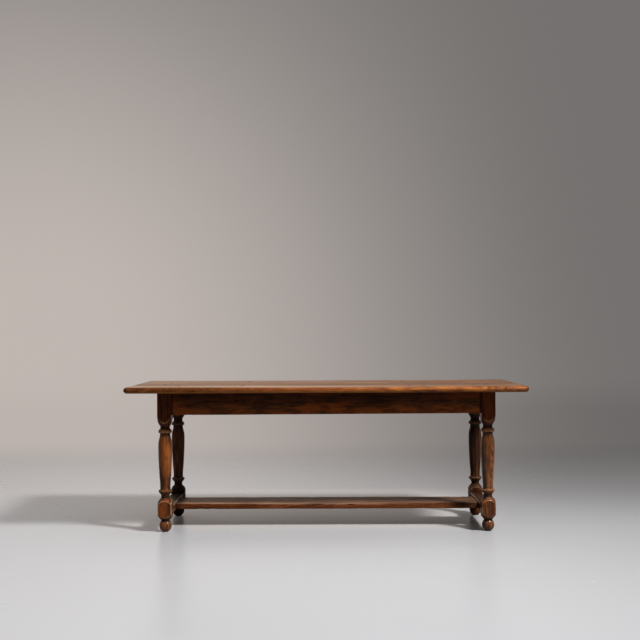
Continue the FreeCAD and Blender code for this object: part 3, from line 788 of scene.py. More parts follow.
@dataclass(frozen=True)
class Board:
    """One board of the top, with a half-round nose on its outer edges."""

    name: str
    node: str
    front: float
    back: float
    outer: int
    drop: float
    oak: Oak
    columns: int = 260
    nose_steps: int = 12
    corner_steps: int = 7
    inner_rows: int = 24
    seam_ease: float = 0.0010
    hollow: float = 0.0003
    sag: float = 0.0022
    edge_band: tuple[float, float] = (0.022, 0.008)
    nose_band: tuple[float, float] = (0.0240, 0.0165)
    left_spill: tuple[float, float] = (0.018, 0.006)

    def _rows(self) -> list[tuple[float, float, float]]:
        """Return the rows of the flat face from front to back.

        Returns:
            For each row its place across, the half length there, and the angle
            at which the nose faces at its ends.
        """
        inner = SIZES.length / 2 - SIZES.nose
        corner_y = SIZES.width / 2 - SIZES.corner_radius
        corner_x = SIZES.length / 2 - SIZES.corner_radius
        turn = SIZES.corner_radius - SIZES.nose
        low = -corner_y if self.outer < 0 else self.front
        high = corner_y if self.outer > 0 else self.back
        rows = [(float(y), inner, 0.0) for y in np.linspace(low, high, self.inner_rows)]
        if self.outer >= 0:
            rows.insert(1, (self.front + self.seam_ease, inner, 0.0))
        if self.outer <= 0:
            rows.insert(len(rows) - 1, (self.back - self.seam_ease, inner, 0.0))
        arc = []
        for angle in np.linspace(0, math.pi / 2, self.corner_steps)[1:]:
            across = corner_y + turn * math.sin(angle)
            reach = corner_x + turn * math.cos(angle)
            arc.append((self.outer * across, reach, self.outer * float(angle)))
        if self.outer < 0:
            return arc[::-1] + rows
        return rows + arc if self.outer else rows

    def _wear_down(self, points: np.ndarray, normals: np.ndarray, edge: np.ndarray) -> np.ndarray:
        """Return how far the surface has gone back at each point."""
        broad = lattice_noise(points, (3.0, 9.0, 9.0), 5)
        middle = lattice_noise(points, (14.0, 40.0, 40.0), 17)
        small = lattice_noise(points, (45.0, 90.0, 90.0), 29)
        dents = smooth_step(lattice_noise(points, (26.0, 40.0, 20.0), 41), 0.80, 0.95)
        nicks = smooth_step(lattice_noise(points, (38.0, 60.0, 60.0), 53), 0.66, 0.92)
        right = smooth_step(points[:, 0], 0.2, 0.85)
        face = np.clip(normals[:, 2], 0, 1) * (1 - edge)
        depth = face * (0.0004 * broad + 0.00022 * middle + 0.0005 * dents)
        return depth + edge * (0.0007 * middle + 0.0004 * small + (0.0008 + 0.0012 * right) * nicks)

    def build(self) -> bpy.types.Object:
        """Build the board.

        Returns:
            The finished board.
        """
        rows = self._rows()
        count_x, count_y = self.columns + 1, len(rows)
        points: list[Triple] = []
        outward: list[Triple] = []
        for level, up in ((SIZES.height, 1.0), (SIZES.underside, -1.0)):
            for y, reach, _ in rows:
                points += [(reach * share, y, level) for share in np.linspace(-1, 1, count_x)]
                outward += [(0.0, 0.0, up)] * count_x
        flat_count = count_x * count_y

        def flat(side: int, row: int, column: int) -> int:
            """Return the number of a point of a flat face."""
            return side * flat_count + row * count_x + column

        faces: list[Face] = []
        for row in range(count_y - 1):
            for column in range(self.columns):
                for side in (0, 1):
                    low = flat(side, row, column)
                    high = flat(side, row + 1, column)
                    faces.append((low, low + 1, high + 1, high))

        middle_z = SIZES.underside + SIZES.nose
        bends = [math.pi * step / self.nose_steps for step in range(1, self.nose_steps)]
        chains: dict[tuple[int, int], list[int]] = {}
        for path in self._rim_paths(rows):
            previous: list[int] = []
            for row, column, angle in path:
                top, bottom = flat(0, row, column), flat(1, row, column)
                corner = (points[top][0], points[top][1], middle_z)
                chain = [top, *range(len(points), len(points) + len(bends)), bottom]
                for bend in bends:
                    out = math.sin(bend)
                    normal = (out * math.cos(angle), out * math.sin(angle), math.cos(bend))
                    points.append(tuple(a + SIZES.nose * b for a, b in zip(corner, normal)))
                    outward.append(normal)
                chains[row, column] = chain
                for step in range(len(previous) - 1):
                    near, far = previous[step : step + 2], chain[step : step + 2]
                    faces.append((*near, *far[::-1]))
                previous = chain
        for row in self._seam_rows(count_y):
            for column in range(self.columns):
                top, bottom = flat(0, row, column), flat(1, row, column)
                faces.append((top, top + 1, bottom + 1, bottom))
            for column in (0, self.columns):
                faces.append(tuple(chains[row, column]))
        return self._finish(np.array(points), np.array(outward), faces)

    def _seam_rows(self, count_y: int) -> list[int]:
        """Return the rows that lie at a seam."""
        return [0] * (self.outer >= 0) + [count_y - 1] * (self.outer <= 0)

    def _rim_paths(
        self, rows: list[tuple[float, float, float]]
    ) -> list[list[tuple[int, int, float]]]:
        """Return the ways round the flat face that the nose follows.

        Args:
            rows: The rows of the flat face.

        Returns:
            Lists of row, column and the angle that the nose faces.
        """
        last, width = len(rows) - 1, self.columns
        left = [(row, 0, math.pi - rows[row][2]) for row in range(last + 1)]
        right = [(row, width, rows[row][2]) for row in range(last + 1)]
        if not self.outer:
            return [left, right]
        if self.outer > 0:
            long_side = [(last, column, math.pi / 2) for column in range(1, width)]
            return [left + long_side + right[::-1]]
        long_side = [(0, column, -math.pi / 2) for column in range(1, width)]
        return [left[::-1] + long_side + right]

    def _finish(
        self, points: np.ndarray, outward: np.ndarray, faces: list[Face]
    ) -> bpy.types.Object:
        """Wear the board's shape and make its object.

        Args:
            points: The sharp shape.
            outward: The direction that each point faces.
            faces: The faces.

        Returns:
            The finished board.
        """
        x, y, up = points[:, 0], points[:, 1], outward[:, 2]
        inset = np.minimum(SIZES.length / 2 - np.abs(x), SIZES.width / 2 - np.abs(y))
        edge = smooth_step(inset, *self.edge_band)
        seam_gap = np.min([np.abs(y - seam) for seam in SIZES.seams], axis=0)
        worn = points - outward * self._wear_down(points, outward, edge)[:, None]

        # The face is planed a little hollow, eased at its seams, and the top sags.
        share = np.clip((y - self.front) / (self.back - self.front), 0, 1)
        dip = self.drop + self.hollow * (1 - (2 * share - 1) ** 2)
        ragged = 0.6 + 0.8 * lattice_noise(points, (30.0, 1.0, 1.0), 71)
        dip = dip + np.where(seam_gap < self.seam_ease / 2, self.seam_ease * ragged, 0.0)
        worn[:, 2] -= np.where(up > 0.5, dip * smooth_step(up, 0.5, 1.0), 0.0)
        sag = self.sag * (1 - (x / (SIZES.length / 2)) ** 2)
        worn[:, 2] -= sag * np.clip((points[:, 2] - SIZES.underside) / SIZES.top_thickness, 0, 1)
        attributes = self._marks(points, up, inset, edge, seam_gap)
        return mesh_object(self.name, worn, faces, self.oak.material(), attributes)

    def _marks(
        self,
        points: np.ndarray,
        up: np.ndarray,
        inset: np.ndarray,
        edge: np.ndarray,
        seam_gap: np.ndarray,
    ) -> dict[str, np.ndarray]:
        """Return how worn, dark and mellow each point is, with painted light on the nose among
        them.

        Args:
            points: The sharp shape.
            up: How much each point faces up.
            inset: How far each point lies in from the top's edge.
            edge: 1 at the edge of the top, 0 on its face.
            seam_gap: How far the nearest seam is.

        Returns:
            The values by attribute name.
        """
        x = points[:, 0]
        from_front = points[:, 1] + SIZES.width / 2
        left = smooth_step(x, 0.45, -0.75)
        band = [
            limit + spill * left for limit, spill in zip(self.nose_band, self.left_spill)
        ]
        nose = np.maximum(
            smooth_step(inset, *self.nose_band), smooth_step(from_front, band[0], band[1])
        )
        # The nose's lower half is painted light, more to the left, as light thrown up from the
        # floor: less dark and lighter there.
        below = nose * (0.25 + 0.6 * smooth_step(x, 0.7, 0.1)) * smooth_step(up, -0.05, -0.38)
        patina_and_shade = nose * (0.80 + 0.20 * left) * (1 - 0.25 * below)

        # Hands have darkened the nose at its ends and in spots along the front.
        ends = 0.60 * smooth_step(x, 0.08, -0.72) + 0.25 * smooth_step(x, 0.70, 0.85)
        spots = smooth_step(lattice_noise(points, (85.0, 55.0, 55.0), 91), 0.55, 0.85)
        spots = spots * (0.18 + 0.27 * smooth_step(x, 0.2, 0.8))
        spots = spots * smooth_step(from_front, 0.10, 0.03) + 0.2 * smooth_step(x, 0.90, 1.02)
        clean = 1 - 0.8 * smooth_step(up, -0.3, -0.7)
        grime_and_shade = np.where(up > 0.5, smooth_step(seam_gap, 0.0022, 0.0004), 0.0)
        grime_and_shade = np.maximum(grime_and_shade, np.where(up < -0.99, 0.5, 0.0))
        grime_and_shade = np.maximum(grime_and_shade, nose * np.clip(ends + spots, 0, 0.9) * clean)

        # The edge is worn down to light wood, more to the right; the nose's lower half is painted
        # light as bounce from the floor, and one stretch at the right is a painted highlight.
        patch = lattice_noise(points, (7.0, 20.0, 20.0), 83)
        wear_and_light = np.clip(edge * (0.35 + 0.65 * smooth_step(x, -0.6, 0.9)) * (0.5 + patch), 0, 1)
        wear_and_light = np.maximum(wear_and_light * (0.72 - 0.62 * left), np.clip(1.6 * below, 0, 1))
        painted_highlight = 0.85 * swell(x, 0.60, 0.15) * smooth_step(up, -0.5, 0.2)
        wear_and_light = np.maximum(wear_and_light, nose * painted_highlight)
        return {WEAR_AND_LIGHT: wear_and_light, GRIME_AND_SHADE: grime_and_shade, PATINA_AND_SHADE: patina_and_shade}


@dataclass(frozen=True)
class Bar:
    """A rail with rounded long arrises, planed by hand and worn."""

    name: str
    node: str
    slot: str
    low: Triple
    high: Triple
    axis: int
    rounds: tuple[float, float, float, float]
    oak: Oak
    ruffle: float = 0.0006
    edge_wear: float = 0.0012
    droop: float = 0.0
    painted_shade_top: float = 0.0
    flush: float = 0.0
    rub: float = 1.0
    scoop: float = 0.0
    scoop_width: float = 0.030
    scoop_length: float = 0.40
    dark_low: float = 0.02
    dark_high: float = 0.02
    pitch: float = 0.009
    end_step: float = 0.0012
    arc_steps: int = 5
    seed: int = 3

    def _section(self) -> tuple[np.ndarray, np.ndarray, np.ndarray]:
        """Return the outline of the bar's section.

        Returns:
            The points, the outward directions, and how near each is to an arris.
        """
        across, rise = (axis for axis in range(3) if axis != self.axis)
        low = (self.low[across], self.low[rise])
        high = (self.high[across], self.high[rise])
        corners = ((low[0], low[1]), (high[0], low[1]), (high[0], high[1]), (low[0], high[1]))
        arcs = []
        for turn, ((x, y), radius) in enumerate(zip(corners, self.rounds)):
            start = (math.pi, math.pi * 1.5, 0.0, math.pi / 2)[turn]
            centre_x = x + radius * (1 if x == low[0] else -1)
            centre_y = y + radius * (1 if y == low[1] else -1)
            arc = []
            for step in range(self.arc_steps + 1):
                angle = start + math.pi / 2 * step / self.arc_steps
                normal = (math.cos(angle), math.sin(angle))
                point = (centre_x + radius * normal[0], centre_y + radius * normal[1])
                arc.append((point, normal, 1.0))
            arcs.append(arc)
        rows = []
        for arc, after in zip(arcs, arcs[1:] + arcs[:1]):
            rows += arc
            (x, y), normal, _ = arc[-1]
            end = after[0][0]
            run = math.dist((x, y), end)
            spread = 0.004 if abs(normal[0]) > 0.5 else 0.008
            count = max(2, round(run / self.pitch))
            for step in range(1, count):
                share = step / count
                point = (x + (end[0] - x) * share, y + (end[1] - y) * share)
                near = max(0.0, 1 - min(share, 1 - share) * run / spread)
                rows.append((point, normal, near))
        points, normals, near = (np.array(column) for column in zip(*rows))
        return points, normals, near

    def build(self) -> bpy.types.Object:
        """Build the bar.

        Returns:
            The finished bar.
        """
        section, normals, near = self._section()
        start, end = self.low[self.axis], self.high[self.axis]
        count = round((end - start) / self.pitch)
        stations = np.linspace(start, end, count + 1)
        step = self.end_step
        stations = np.concatenate(([start, start + step], stations[1:-1], [end - step, end]))
        width = len(section)
        points = np.zeros((len(stations) * width, 3))
        outward = np.zeros_like(points)
        points[:, self.axis] = np.repeat(stations, width)
        others = [axis for axis in range(3) if axis != self.axis]
        points[:, others] = np.tile(section, (len(stations), 1))
        outward[:, others] = np.tile(normals, (len(stations), 1))
        arris = np.tile(near, len(stations))
        tight = np.repeat((stations == start) | (stations == end), width)
        trodden = self._wear_down(points, outward, arris, tight)

        faces: list[Face] = []
        for station in range(len(stations) - 1):
            for place in range(width):
                first = station * width + place
                second = station * width + (place + 1) % width
                faces.append((first, second, second + width, first + width))
        faces.append(tuple(range(width)))
        faces.append(tuple(range(len(points) - width, len(points))))
        attributes = self._marks(points, outward, arris, trodden)
        return mesh_object(self.name, points, faces, self.oak.material(), attributes)

    def _noise(self, points: np.ndarray, along: float, across: float, seed: int) -> np.ndarray:
        """Return noise with its own number of cells per metre along the bar."""
        stretch = [across] * 3
        stretch[self.axis] = along
        return lattice_noise(points, tuple(stretch), self.seed + seed)

    def _wear_down(
        self, points: np.ndarray, outward: np.ndarray, arris: np.ndarray, tight: np.ndarray
    ) -> np.ndarray:
        """Move the points in by what planes and feet have taken off.

        Args:
            points: The sharp shape, which is changed.
            outward: The direction that each point faces.
            arris: How near each point is to an arris.
            tight: Which points lie in the end faces.

        Returns:
            How much each point is trodden down.
        """
        along = points[:, self.axis]
        broad = self._noise(points, 5.0, 30.0, 0)
        small = self._noise(points, 32.0, 90.0, 11)
        chips = smooth_step(self._noise(points, 32.0, 90.0, 23), 0.62, 0.9)
        depth = self.ruffle * (0.7 * broad + 0.3 * small)
        depth += arris * self.edge_wear * (0.25 * broad + 0.75 * chips)
        depth += np.where(tight, 0.0004, 0.0)
        from_arris = np.hypot(points[:, 1] - self.low[1], points[:, 2] - self.high[2])
        trodden = swell(along, 0.0, self.scoop_length)
        trodden = trodden * np.clip(1 - from_arris / self.scoop_width, 0, 1) ** 1.5
        trodden = trodden * min(self.scoop * 1000, 1)
        points -= outward * (depth + self.scoop * trodden)[:, None]
        if self.droop:
            start, end = self.low[self.axis], self.high[self.axis]
            share = (end - points[:, self.axis]) / (end - start)
            foot = np.clip((self.high[2] - points[:, 2]) / (self.high[2] - self.low[2]), 0, 1)
            points[:, 2] -= self.droop * share * foot
        return trodden

    def _marks(
        self, points: np.ndarray, outward: np.ndarray, arris: np.ndarray, trodden: np.ndarray
    ) -> dict[str, np.ndarray]:
        """Return how worn, dark and mellow each point is, with painted light and shade among them.

        Args:
            points: The worn shape.
            outward: The direction that each point faces.
            arris: How near each point is to an arris.
            trodden: How much each point is trodden down.

        Returns:
            The values by attribute name.
        """
        along = points[:, self.axis]
        from_start, from_end = along - self.low[self.axis], self.high[self.axis] - along
        level = (points[:, 2] - self.low[2]) / (self.high[2] - self.low[2])
        right = smooth_step(along, 0.05, 0.40)

        # Only a flush bar has these: a front strip, its left end and its back strip.
        strip = smooth_step(points[:, 1], self.low[1] + 0.036, self.low[1] + 0.010)
        strip = 0.7 * right * strip
        front = self.flush * np.maximum(smooth_step(-outward[:, 1], 0.5, 0.9), strip)
        first = front * smooth_step(from_start, 0.50, 0.10)
        back = self.flush * smooth_step(points[:, 1], self.high[1] - 0.03, self.high[1])

        patch = self._noise(points, 5.0, 30.0, 37)
        wear_and_light = np.clip(arris * (0.35 + 0.9 * patch) * self.rub, 0, 1)
        wear_and_light = wear_and_light * (1 - self.flush * 0.8 * smooth_step(level, 0.5, 0.15))
        wear_and_light = np.maximum(wear_and_light, 0.70 * smooth_step(trodden, 0.12, 0.6))
        wear_and_light = wear_and_light * (1 - 0.5 * front) * (1 - first) * (1 - back) * (1 - 0.6 * right * self.flush)

        # Painted shade darkens a bar towards its top, as under the top's overhang. A flush bar's
        # front face is darker, less so in one stretch painted lighter as lit.
        lit = swell(along, 0.22, 0.38) * smooth_step(level, 0.45, 0.9)
        patina_and_shade = self.painted_shade_top * smooth_step(level, 0.2, 0.85)
        patina_and_shade = np.maximum(patina_and_shade, front * (1 - 0.45 * lit))

        # Each end darkens near its joint; an end darkened far along the bar is painted shade.
        shares = (
            smooth_step(from_start, self.dark_low, 0.002),
            smooth_step(from_end, self.dark_high, 0.002),
            0.5 * first,
            0.45 * back,
            0.45 * strip * self.flush,
        )
        return {WEAR_AND_LIGHT: wear_and_light, GRIME_AND_SHADE: np.max(shares, axis=0) * 0.7, PATINA_AND_SHADE: patina_and_shade}

    def dress(self) -> None:
        """Build the bar and put it in place of its node."""
        settle(self.build(), self.node)


def arc_through(
    first: Sequence[float], over: Sequence[float], last: Sequence[float], count: int
) -> np.ndarray:
    """Return points on the arc from first over a middle point to last.

    Args:
        first: Where the arc starts.
        over: A point that it passes.
        last: Where it ends.
        count: How many steps it is divided into.

    Returns:
        The points, the first among them and the last left out.
    """
    a, b, c = (np.asarray(point, float) for point in (first, over, last))
    matrix = 2 * np.array([b - a, c - a])
    target = np.array([b @ b - a @ a, c @ c - a @ a])
    centre = np.linalg.solve(matrix, target)
    radius = np.linalg.norm(a - centre)
    start, passing, end = (math.atan2(*(point - centre)[::-1]) for point in (a, b, c))
    sweep = (end - start) % math.tau
    if (passing - start) % math.tau > sweep:
        sweep -= math.tau
    angles = start + sweep * np.arange(count) / count
    return centre + radius * np.stack([np.cos(angles), np.sin(angles)], axis=1)


def smooth_line(knots: np.ndarray, count: int) -> np.ndarray:
    """Return a smooth line through points whose heights rise.

    Args:
        knots: Rows of radius and height.
        count: How many steps it is divided into.

    Returns:
        The points, the last left out.
    """
    height, radius = knots[:, 1], knots[:, 0]
    gap = np.diff(height)
    slope = np.diff(radius) / gap
    size = len(height)
    system = np.eye(size)
    target = np.zeros(size)
    for row in range(1, size - 1):
        system[row, row - 1 : row + 2] = gap[row - 1], 2 * (gap[row - 1] + gap[row]), gap[row]
        target[row] = 6 * (slope[row] - slope[row - 1])
    bend = np.linalg.solve(system, target)
    places = np.linspace(height[0], height[-1], count + 1)[:-1]
    span = np.clip(np.searchsorted(height, places, side="right") - 1, 0, size - 2)
    near, far = places - height[span], height[span + 1] - places
    width = gap[span]
    line = bend[span] * far**3 / (6 * width) + bend[span + 1] * near**3 / (6 * width)
    line += (radius[span] / width - bend[span] * width / 6) * far
    line += (radius[span + 1] / width - bend[span + 1] * width / 6) * near
    return np.stack([line, places], axis=1)


@dataclass(frozen=True)
class Turning:
    """The outline that the lathe gives a leg, from the floor upwards."""

    pad: float = 0.013
    ball: float = 0.0326
    ball_height: float = 0.056
    ball_share: float = 0.56
    ankle: float = 0.0225
    ankle_height: float = 0.004
    lower_flare: float = 0.032
    lower_flare_share: float = 0.50
    block_above: float = 0.015
    lower_neck: float = 0.0222
    lower_neck_height: float = 0.006
    ring: float = 0.0363
    ring_nose: float = 0.009
    ring_step: float = 0.0015
    bead: float = 0.006
    bead_depth: float = 0.0040
    notch: float = 0.001
    upper_depth_share: float = 0.45
    ring_tip_share: float = 0.65
    ring_end_share: float = 0.9
    lower_ring_height: float = 0.042
    foot: float = 0.0268
    belly: float = 0.0364
    head: float = 0.0272
    upper_ring_height: float = 0.033
    upper_neck: float = 0.025
    upper_neck_height: float = 0.009
    upper_flare: float = 0.056
    upper_flare_share: float = 0.35
    block_below: float = 0.006
    arris: float = 0.001
    rise: tuple[tuple[float, float], ...] = (
        (0.04, 0.0),
        (0.18, 0.28),
        (0.355, 0.60),
        (0.54, 0.89),
        (0.70, 0.99),
        (0.775, 1.0),
    )
    fall: tuple[tuple[float, float], ...] = (
        (0.857, 0.85),
        (0.895, 0.63),
        (0.93, 0.33),
        (0.97, 0.03),
    )

    def _ring(self, neck: float, level: float, waist: float, height: float) -> list[np.ndarray]:
        """Return the parts of one ring from its neck to the baluster.

        Args:
            neck: The radius of the neck that it rises from.
            level: Where the neck ends.
            waist: The radius of the baluster beyond it.
            height: The ring's height, below 0 for one that hangs down.

        Returns:
            A hollow, a bead, a notch, the nose and the slope to the baluster.
        """
        up = math.copysign(1, height)
        tip = level + height * self.ring_tip_share
        shoulder = self.ring - self.ring_step
        start = np.array([neck, level])
        nose_start = np.array([shoulder, tip - up * self.ring_nose / 2])
        nose_end = np.array([shoulder, tip + up * self.ring_nose / 2])
        depth = self.bead_depth * (1.0 if up > 0 else self.upper_depth_share)
        notch = nose_start - np.array([depth, up * self.notch])
        bead_low = notch - np.array([depth / 2, up * self.bead])
        bead_over = (notch + bead_low) / 2 + np.array([self.bead / 3, 0.0])
        hollow = start + (bead_low - start) * np.array([0.30, 0.62])
        waist_start = np.array([waist, level + height * self.ring_end_share])
        step = np.arange(4)[:, None] / 4
        return [
            arc_through(start, hollow, bead_low, 12),
            arc_through(bead_low, bead_over, notch, 8),
            notch + (nose_start - notch) * step[::2],
            arc_through(nose_start, (self.ring, tip), nose_end, 10),
            nose_end + (waist_start - nose_end) * step,
            waist_start[None, :],
        ]

    def _baluster(self, low: float, high: float) -> np.ndarray:
        """Return the long swelling line between the rings."""
        knots = [(self.foot, low)]
        for thin, shares in ((self.foot, self.rise), (self.head, self.fall)):
            knots += [
                (thin + (self.belly - thin) * swelling, low + (high - low) * share)
                for share, swelling in shares
            ]
        return smooth_line(np.array([*knots, (self.head, high)]), 64)

    def rows(self) -> tuple[np.ndarray, np.ndarray]:
        """Return the outline.

        Returns:
            Rows of radius and height, and a mark that is 1 where the square
            stock cuts the outline.
        """
        face = SIZES.stock / 2
        corner = face * math.sqrt(2) - self.arris
        ankle_top = self.ball_height + self.ankle_height
        block_base = ankle_top + self.lower_flare
        block_top = block_base + SIZES.end_height + self.block_above
        neck = block_top + self.lower_flare
        lower_ring = neck + self.lower_neck_height
        foot_level = lower_ring + self.lower_ring_height
        upper_block = SIZES.underside - SIZES.apron_height - self.block_below
        upper_neck_top = upper_block - self.upper_flare
        upper_neck = upper_neck_top - self.upper_neck_height
        head_level = upper_neck - self.upper_ring_height

        def flare(radius: float, level: float, height: float, share: float) -> np.ndarray:
            """Return the line from a round neck out to the stock's corners."""
            over = (face, level + height * share)
            return arc_through((radius, level), over, (corner, level + height), 32)

        def block(low: float, high: float, count: int) -> np.ndarray:
            """Return the straight part of a block."""
            levels = np.linspace(low, high, count + 1)[:-1]
            return np.stack([np.full(count, corner), levels], axis=1)

        ball_over = (self.ball, self.ball_height * self.ball_share)
        ball_end = (self.ankle, self.ball_height)
        pad_steps = (1 + np.arange(1, 4)[:, None] / 4) / 2
        over_block = flare(self.lower_neck, neck, -self.lower_flare, self.lower_flare_share)
        lower = self._ring(self.lower_neck, lower_ring, self.foot, self.lower_ring_height)
        upper = self._ring(self.upper_neck, upper_neck, self.head, -self.upper_ring_height)
        parts = (
            (np.array([[0.0, 0.0]]), 0),
            (np.array([self.pad, 0.0]) * pad_steps, 0),
            (arc_through((self.pad, 0.0), ball_over, ball_end, 30), 0),
            (np.array([ball_end]), 0),
            (flare(self.ankle, ankle_top, self.lower_flare, self.lower_flare_share), 1),
            (block(block_base, block_top, 10), 1),
            (np.vstack([[corner, block_top], over_block[:0:-1]]), 1),
            (np.array([[self.lower_neck, neck]]), 0),
            (np.vstack(lower), 0),
            (self._baluster(foot_level, head_level), 0),
            (np.vstack(upper)[::-1], 0),
            (np.array([[self.upper_neck, upper_neck + self.upper_neck_height / 2]]), 0),
            (flare(self.upper_neck, upper_neck_top, self.upper_flare, self.upper_flare_share), 1),
            (block(upper_block, SIZES.underside, 22), 1),
            (np.array([[corner, SIZES.underside], [0.0, SIZES.underside]]), 1),
        )
        outline = np.vstack([part for part, _ in parts])
        squared = np.concatenate([np.full(len(part), mark, float) for part, mark in parts])
        return outline, squared


@dataclass(frozen=True)
class Leg:
    """One leg, turned from square stock by a tree of geometry nodes."""

    name: str
    node: str
    x_side: int
    y_side: int
    oak: Oak
    turning: Turning = Turning()
    facets: int = 128
    bunching: float = 0.6
    arris_soft: float = 0.006
    edge_soft: float = 0.0018
    wear_depth: float = 0.0007
    low_dull: float = 0.14
    foot_dull: float = 0.0
    reach: float = 0.012
    level_step: float = 0.0005
    proud_depth: float = 0.0045

    @property
    def centre(self) -> Triple:
        """The foot of the leg's axis."""
        return (self.x_side * SIZES.leg_x, self.y_side * SIZES.leg_y, 0.0)

    def _outline_object(self) -> bpy.types.Object:
        """Make the line that the lathe follows, with its worn ridges and darkened hollows."""
        outline, squared = self.turning.rows()
        levels = np.arange(0.0, SIZES.underside, self.level_step)
        radius = np.interp(levels, outline[1:-1, 1], np.minimum(outline[1:-1, 0], SIZES.stock / 2))
        half = 60
        kernel = np.exp(-0.5 * (np.arange(-half, half + 1) * self.level_step / self.reach) ** 2)
        padded = np.pad(radius, half, mode="edge")
        mean = np.convolve(padded, kernel / kernel.sum(), mode="valid")
        proud = np.interp(outline[:, 1], levels, radius - mean) / self.proud_depth
        mesh = bpy.data.meshes.new(f"{self.name}_outline")
        points = [(float(r), 0.0, float(z)) for r, z in outline]
        mesh.from_pydata(points, [(i, i + 1) for i in range(len(points) - 1)], [])
        store(mesh, {WEAR_AND_LIGHT: np.clip(proud, 0, 1), GRIME_AND_SHADE: np.clip(-proud, 0, 1), SQUARED: squared})
        return add_object(self.name, mesh)

    def _tree(self) -> bpy.types.NodeTree:
        """Build the tree that turns the outline and wears the wood.

        Returns:
            The geometry node tree.
        """
        inputs = {
            "Outline": "Geometry",
            "Half Stock": "Float",
            "Facets": "Int",
            "Arris Softness": "Float",
            "Edge Softness": "Float",
            "Wear Depth": "Float",
            "Low Dullness": "Float",
            "Foot Dullness": "Float",
            "Seed": "Float",
            "Centre": "Vector",
            "Finish": "Material",
        }
        sheet, given = shape_sheet("turned_leg", inputs, "Leg")
        outline, half = given["Outline"], given["Half Stock"]
        rows = sheet.add("GeometryNodeAttributeDomainSize", (outline,), component="MESH")
        body = sheet.add("GeometryNodeMeshGrid", (1.0, 1.0, given["Facets"] + 1, rows))
        position = sheet.add("GeometryNodeInputPosition")
        across, up, _ = sheet.split(position)
        row = ((up + 0.5) * (rows - 1.0)).apply("ROUND")

        def sampled(kind: str, value: Term) -> Term:
            """Read a value of the outline at this row."""
            feed = {"Geometry": outline, "Value": value, "Index": row}
            return sheet.add("GeometryNodeSampleIndex", feed, data_type=kind, domain="POINT")

        radius, _, level = sheet.split(sampled("FLOAT_VECTOR", position))
        wear_and_light, grime_and_shade, squared = (
            sampled("FLOAT", sheet.named(label)) for label in (WEAR_AND_LIGHT, GRIME_AND_SHADE, SQUARED)
        )

        # Round each row, but bunch its points at the stock's corners and cut it flat.
        even = (across + 0.5) * math.tau
        angle = even + (even * 4.0).apply("SINE") * (self.bunching / 4)
        cosine, sine = angle.apply("COSINE"), angle.apply("SINE")
        flat_x = half / abs(cosine).most(0.0001)
        flat_y = half / abs(sine).most(0.0001)
        square = flat_x.apply("SMOOTH_MIN", flat_y, given["Arris Softness"])
        free = square + (1.0 - squared) * 0.02
        turned = radius.apply("SMOOTH_MIN", free, given["Edge Softness"])
        shaped = sheet.join(turned * cosine, turned * sine, level)
        placed = sheet.vector("ADD", shaped, given["Centre"])

        # Arrises are worn light and the lower part is dull; the top of the leg, which lies in the
        # top's shade, is painted darker as shade, and the squared blocks are a little darker.
        arris = abs(flat_x - flat_y).step(0.014, 0.001) * (radius - square).step(-0.002, 0.001)
        lunette = abs(radius - square).step(0.0050, 0.0003)
        edge = arris.most(lunette) * squared * (1.0 - level.step(0.575, 0.612) * 0.85)
        foot = level.step(0.190, 0.165)
        dull = (1.0 - foot) * given["Low Dullness"] + foot * given["Foot Dullness"]
        marks = {
            WEAR_AND_LIGHT: (wear_and_light * (0.9 - level.step(0.36, 0.22) * 0.2)).most(edge),
            GRIME_AND_SHADE: grime_and_shade.most(level.step(0.43, 0.27) * (dull + 0.10)),
            PATINA_AND_SHADE: level.step(0.505, 0.575).most(squared * 0.45),
        }
        for label, value in marks.items():
            feed = {"Geometry": body, "Name": label, "Value": value}
            body = sheet.add(
                "GeometryNodeStoreNamedAttribute", feed, data_type="FLOAT", domain="POINT"
            )
        body = sheet.add("GeometryNodeSetPosition", {"Geometry": body, "Position": placed})
        body = sheet.add("GeometryNodeMergeByDistance", {"Geometry": body, "Distance": 0.00002})

        seed = given["Seed"]
        shift = sheet.join(seed, seed * 1.3, seed * 0.7)
        moved = sheet.vector("ADD", sheet.add("GeometryNodeInputPosition"), shift)
        broad = sheet.noise(moved, (22.0, 22.0, 7.0), 0.0, detail=1.0)
        small = sheet.noise(moved, (95.0, 95.0, 60.0), 0.0, detail=2.0)
        chips = small.step(0.50, 0.72) * sheet.named(WEAR_AND_LIGHT)
        depth = (broad * 0.45 + small * 0.25 + chips * 1.1) * given["Wear Depth"]
        feed = {"Vector": sheet.add("GeometryNodeInputNormal"), "Scale": -depth}
        inward = sheet.add("ShaderNodeVectorMath", feed, operation="SCALE")
        body = sheet.add("GeometryNodeSetPosition", {"Geometry": body, "Offset": inward})
        body = sheet.add("GeometryNodeSetShadeSmooth", {"Geometry": body})
        body = sheet.add("GeometryNodeRealizeInstances", {"Geometry": body})
        feed = {"Geometry": body, "Material": given["Finish"]}
        body = sheet.add("GeometryNodeSetMaterial", feed)
        sheet.add("NodeGroupOutput", {"Leg": body})
        return sheet.tree

    def dress(self) -> None:
        """Build the leg and put it in place of its node."""
        piece = self._outline_object()
        values = {
            "Half Stock": SIZES.stock / 2,
            "Facets": self.facets,
            "Arris Softness": self.arris_soft,
            "Edge Softness": self.edge_soft,
            "Wear Depth": self.wear_depth,
            "Low Dullness": self.low_dull,
            "Foot Dullness": self.foot_dull,
            "Seed": self.oak.seed,
            "Centre": self.centre,
            "Finish": self.oak.material(),
        }
        bake(piece, self._tree(), values)
        settle(piece, self.node)


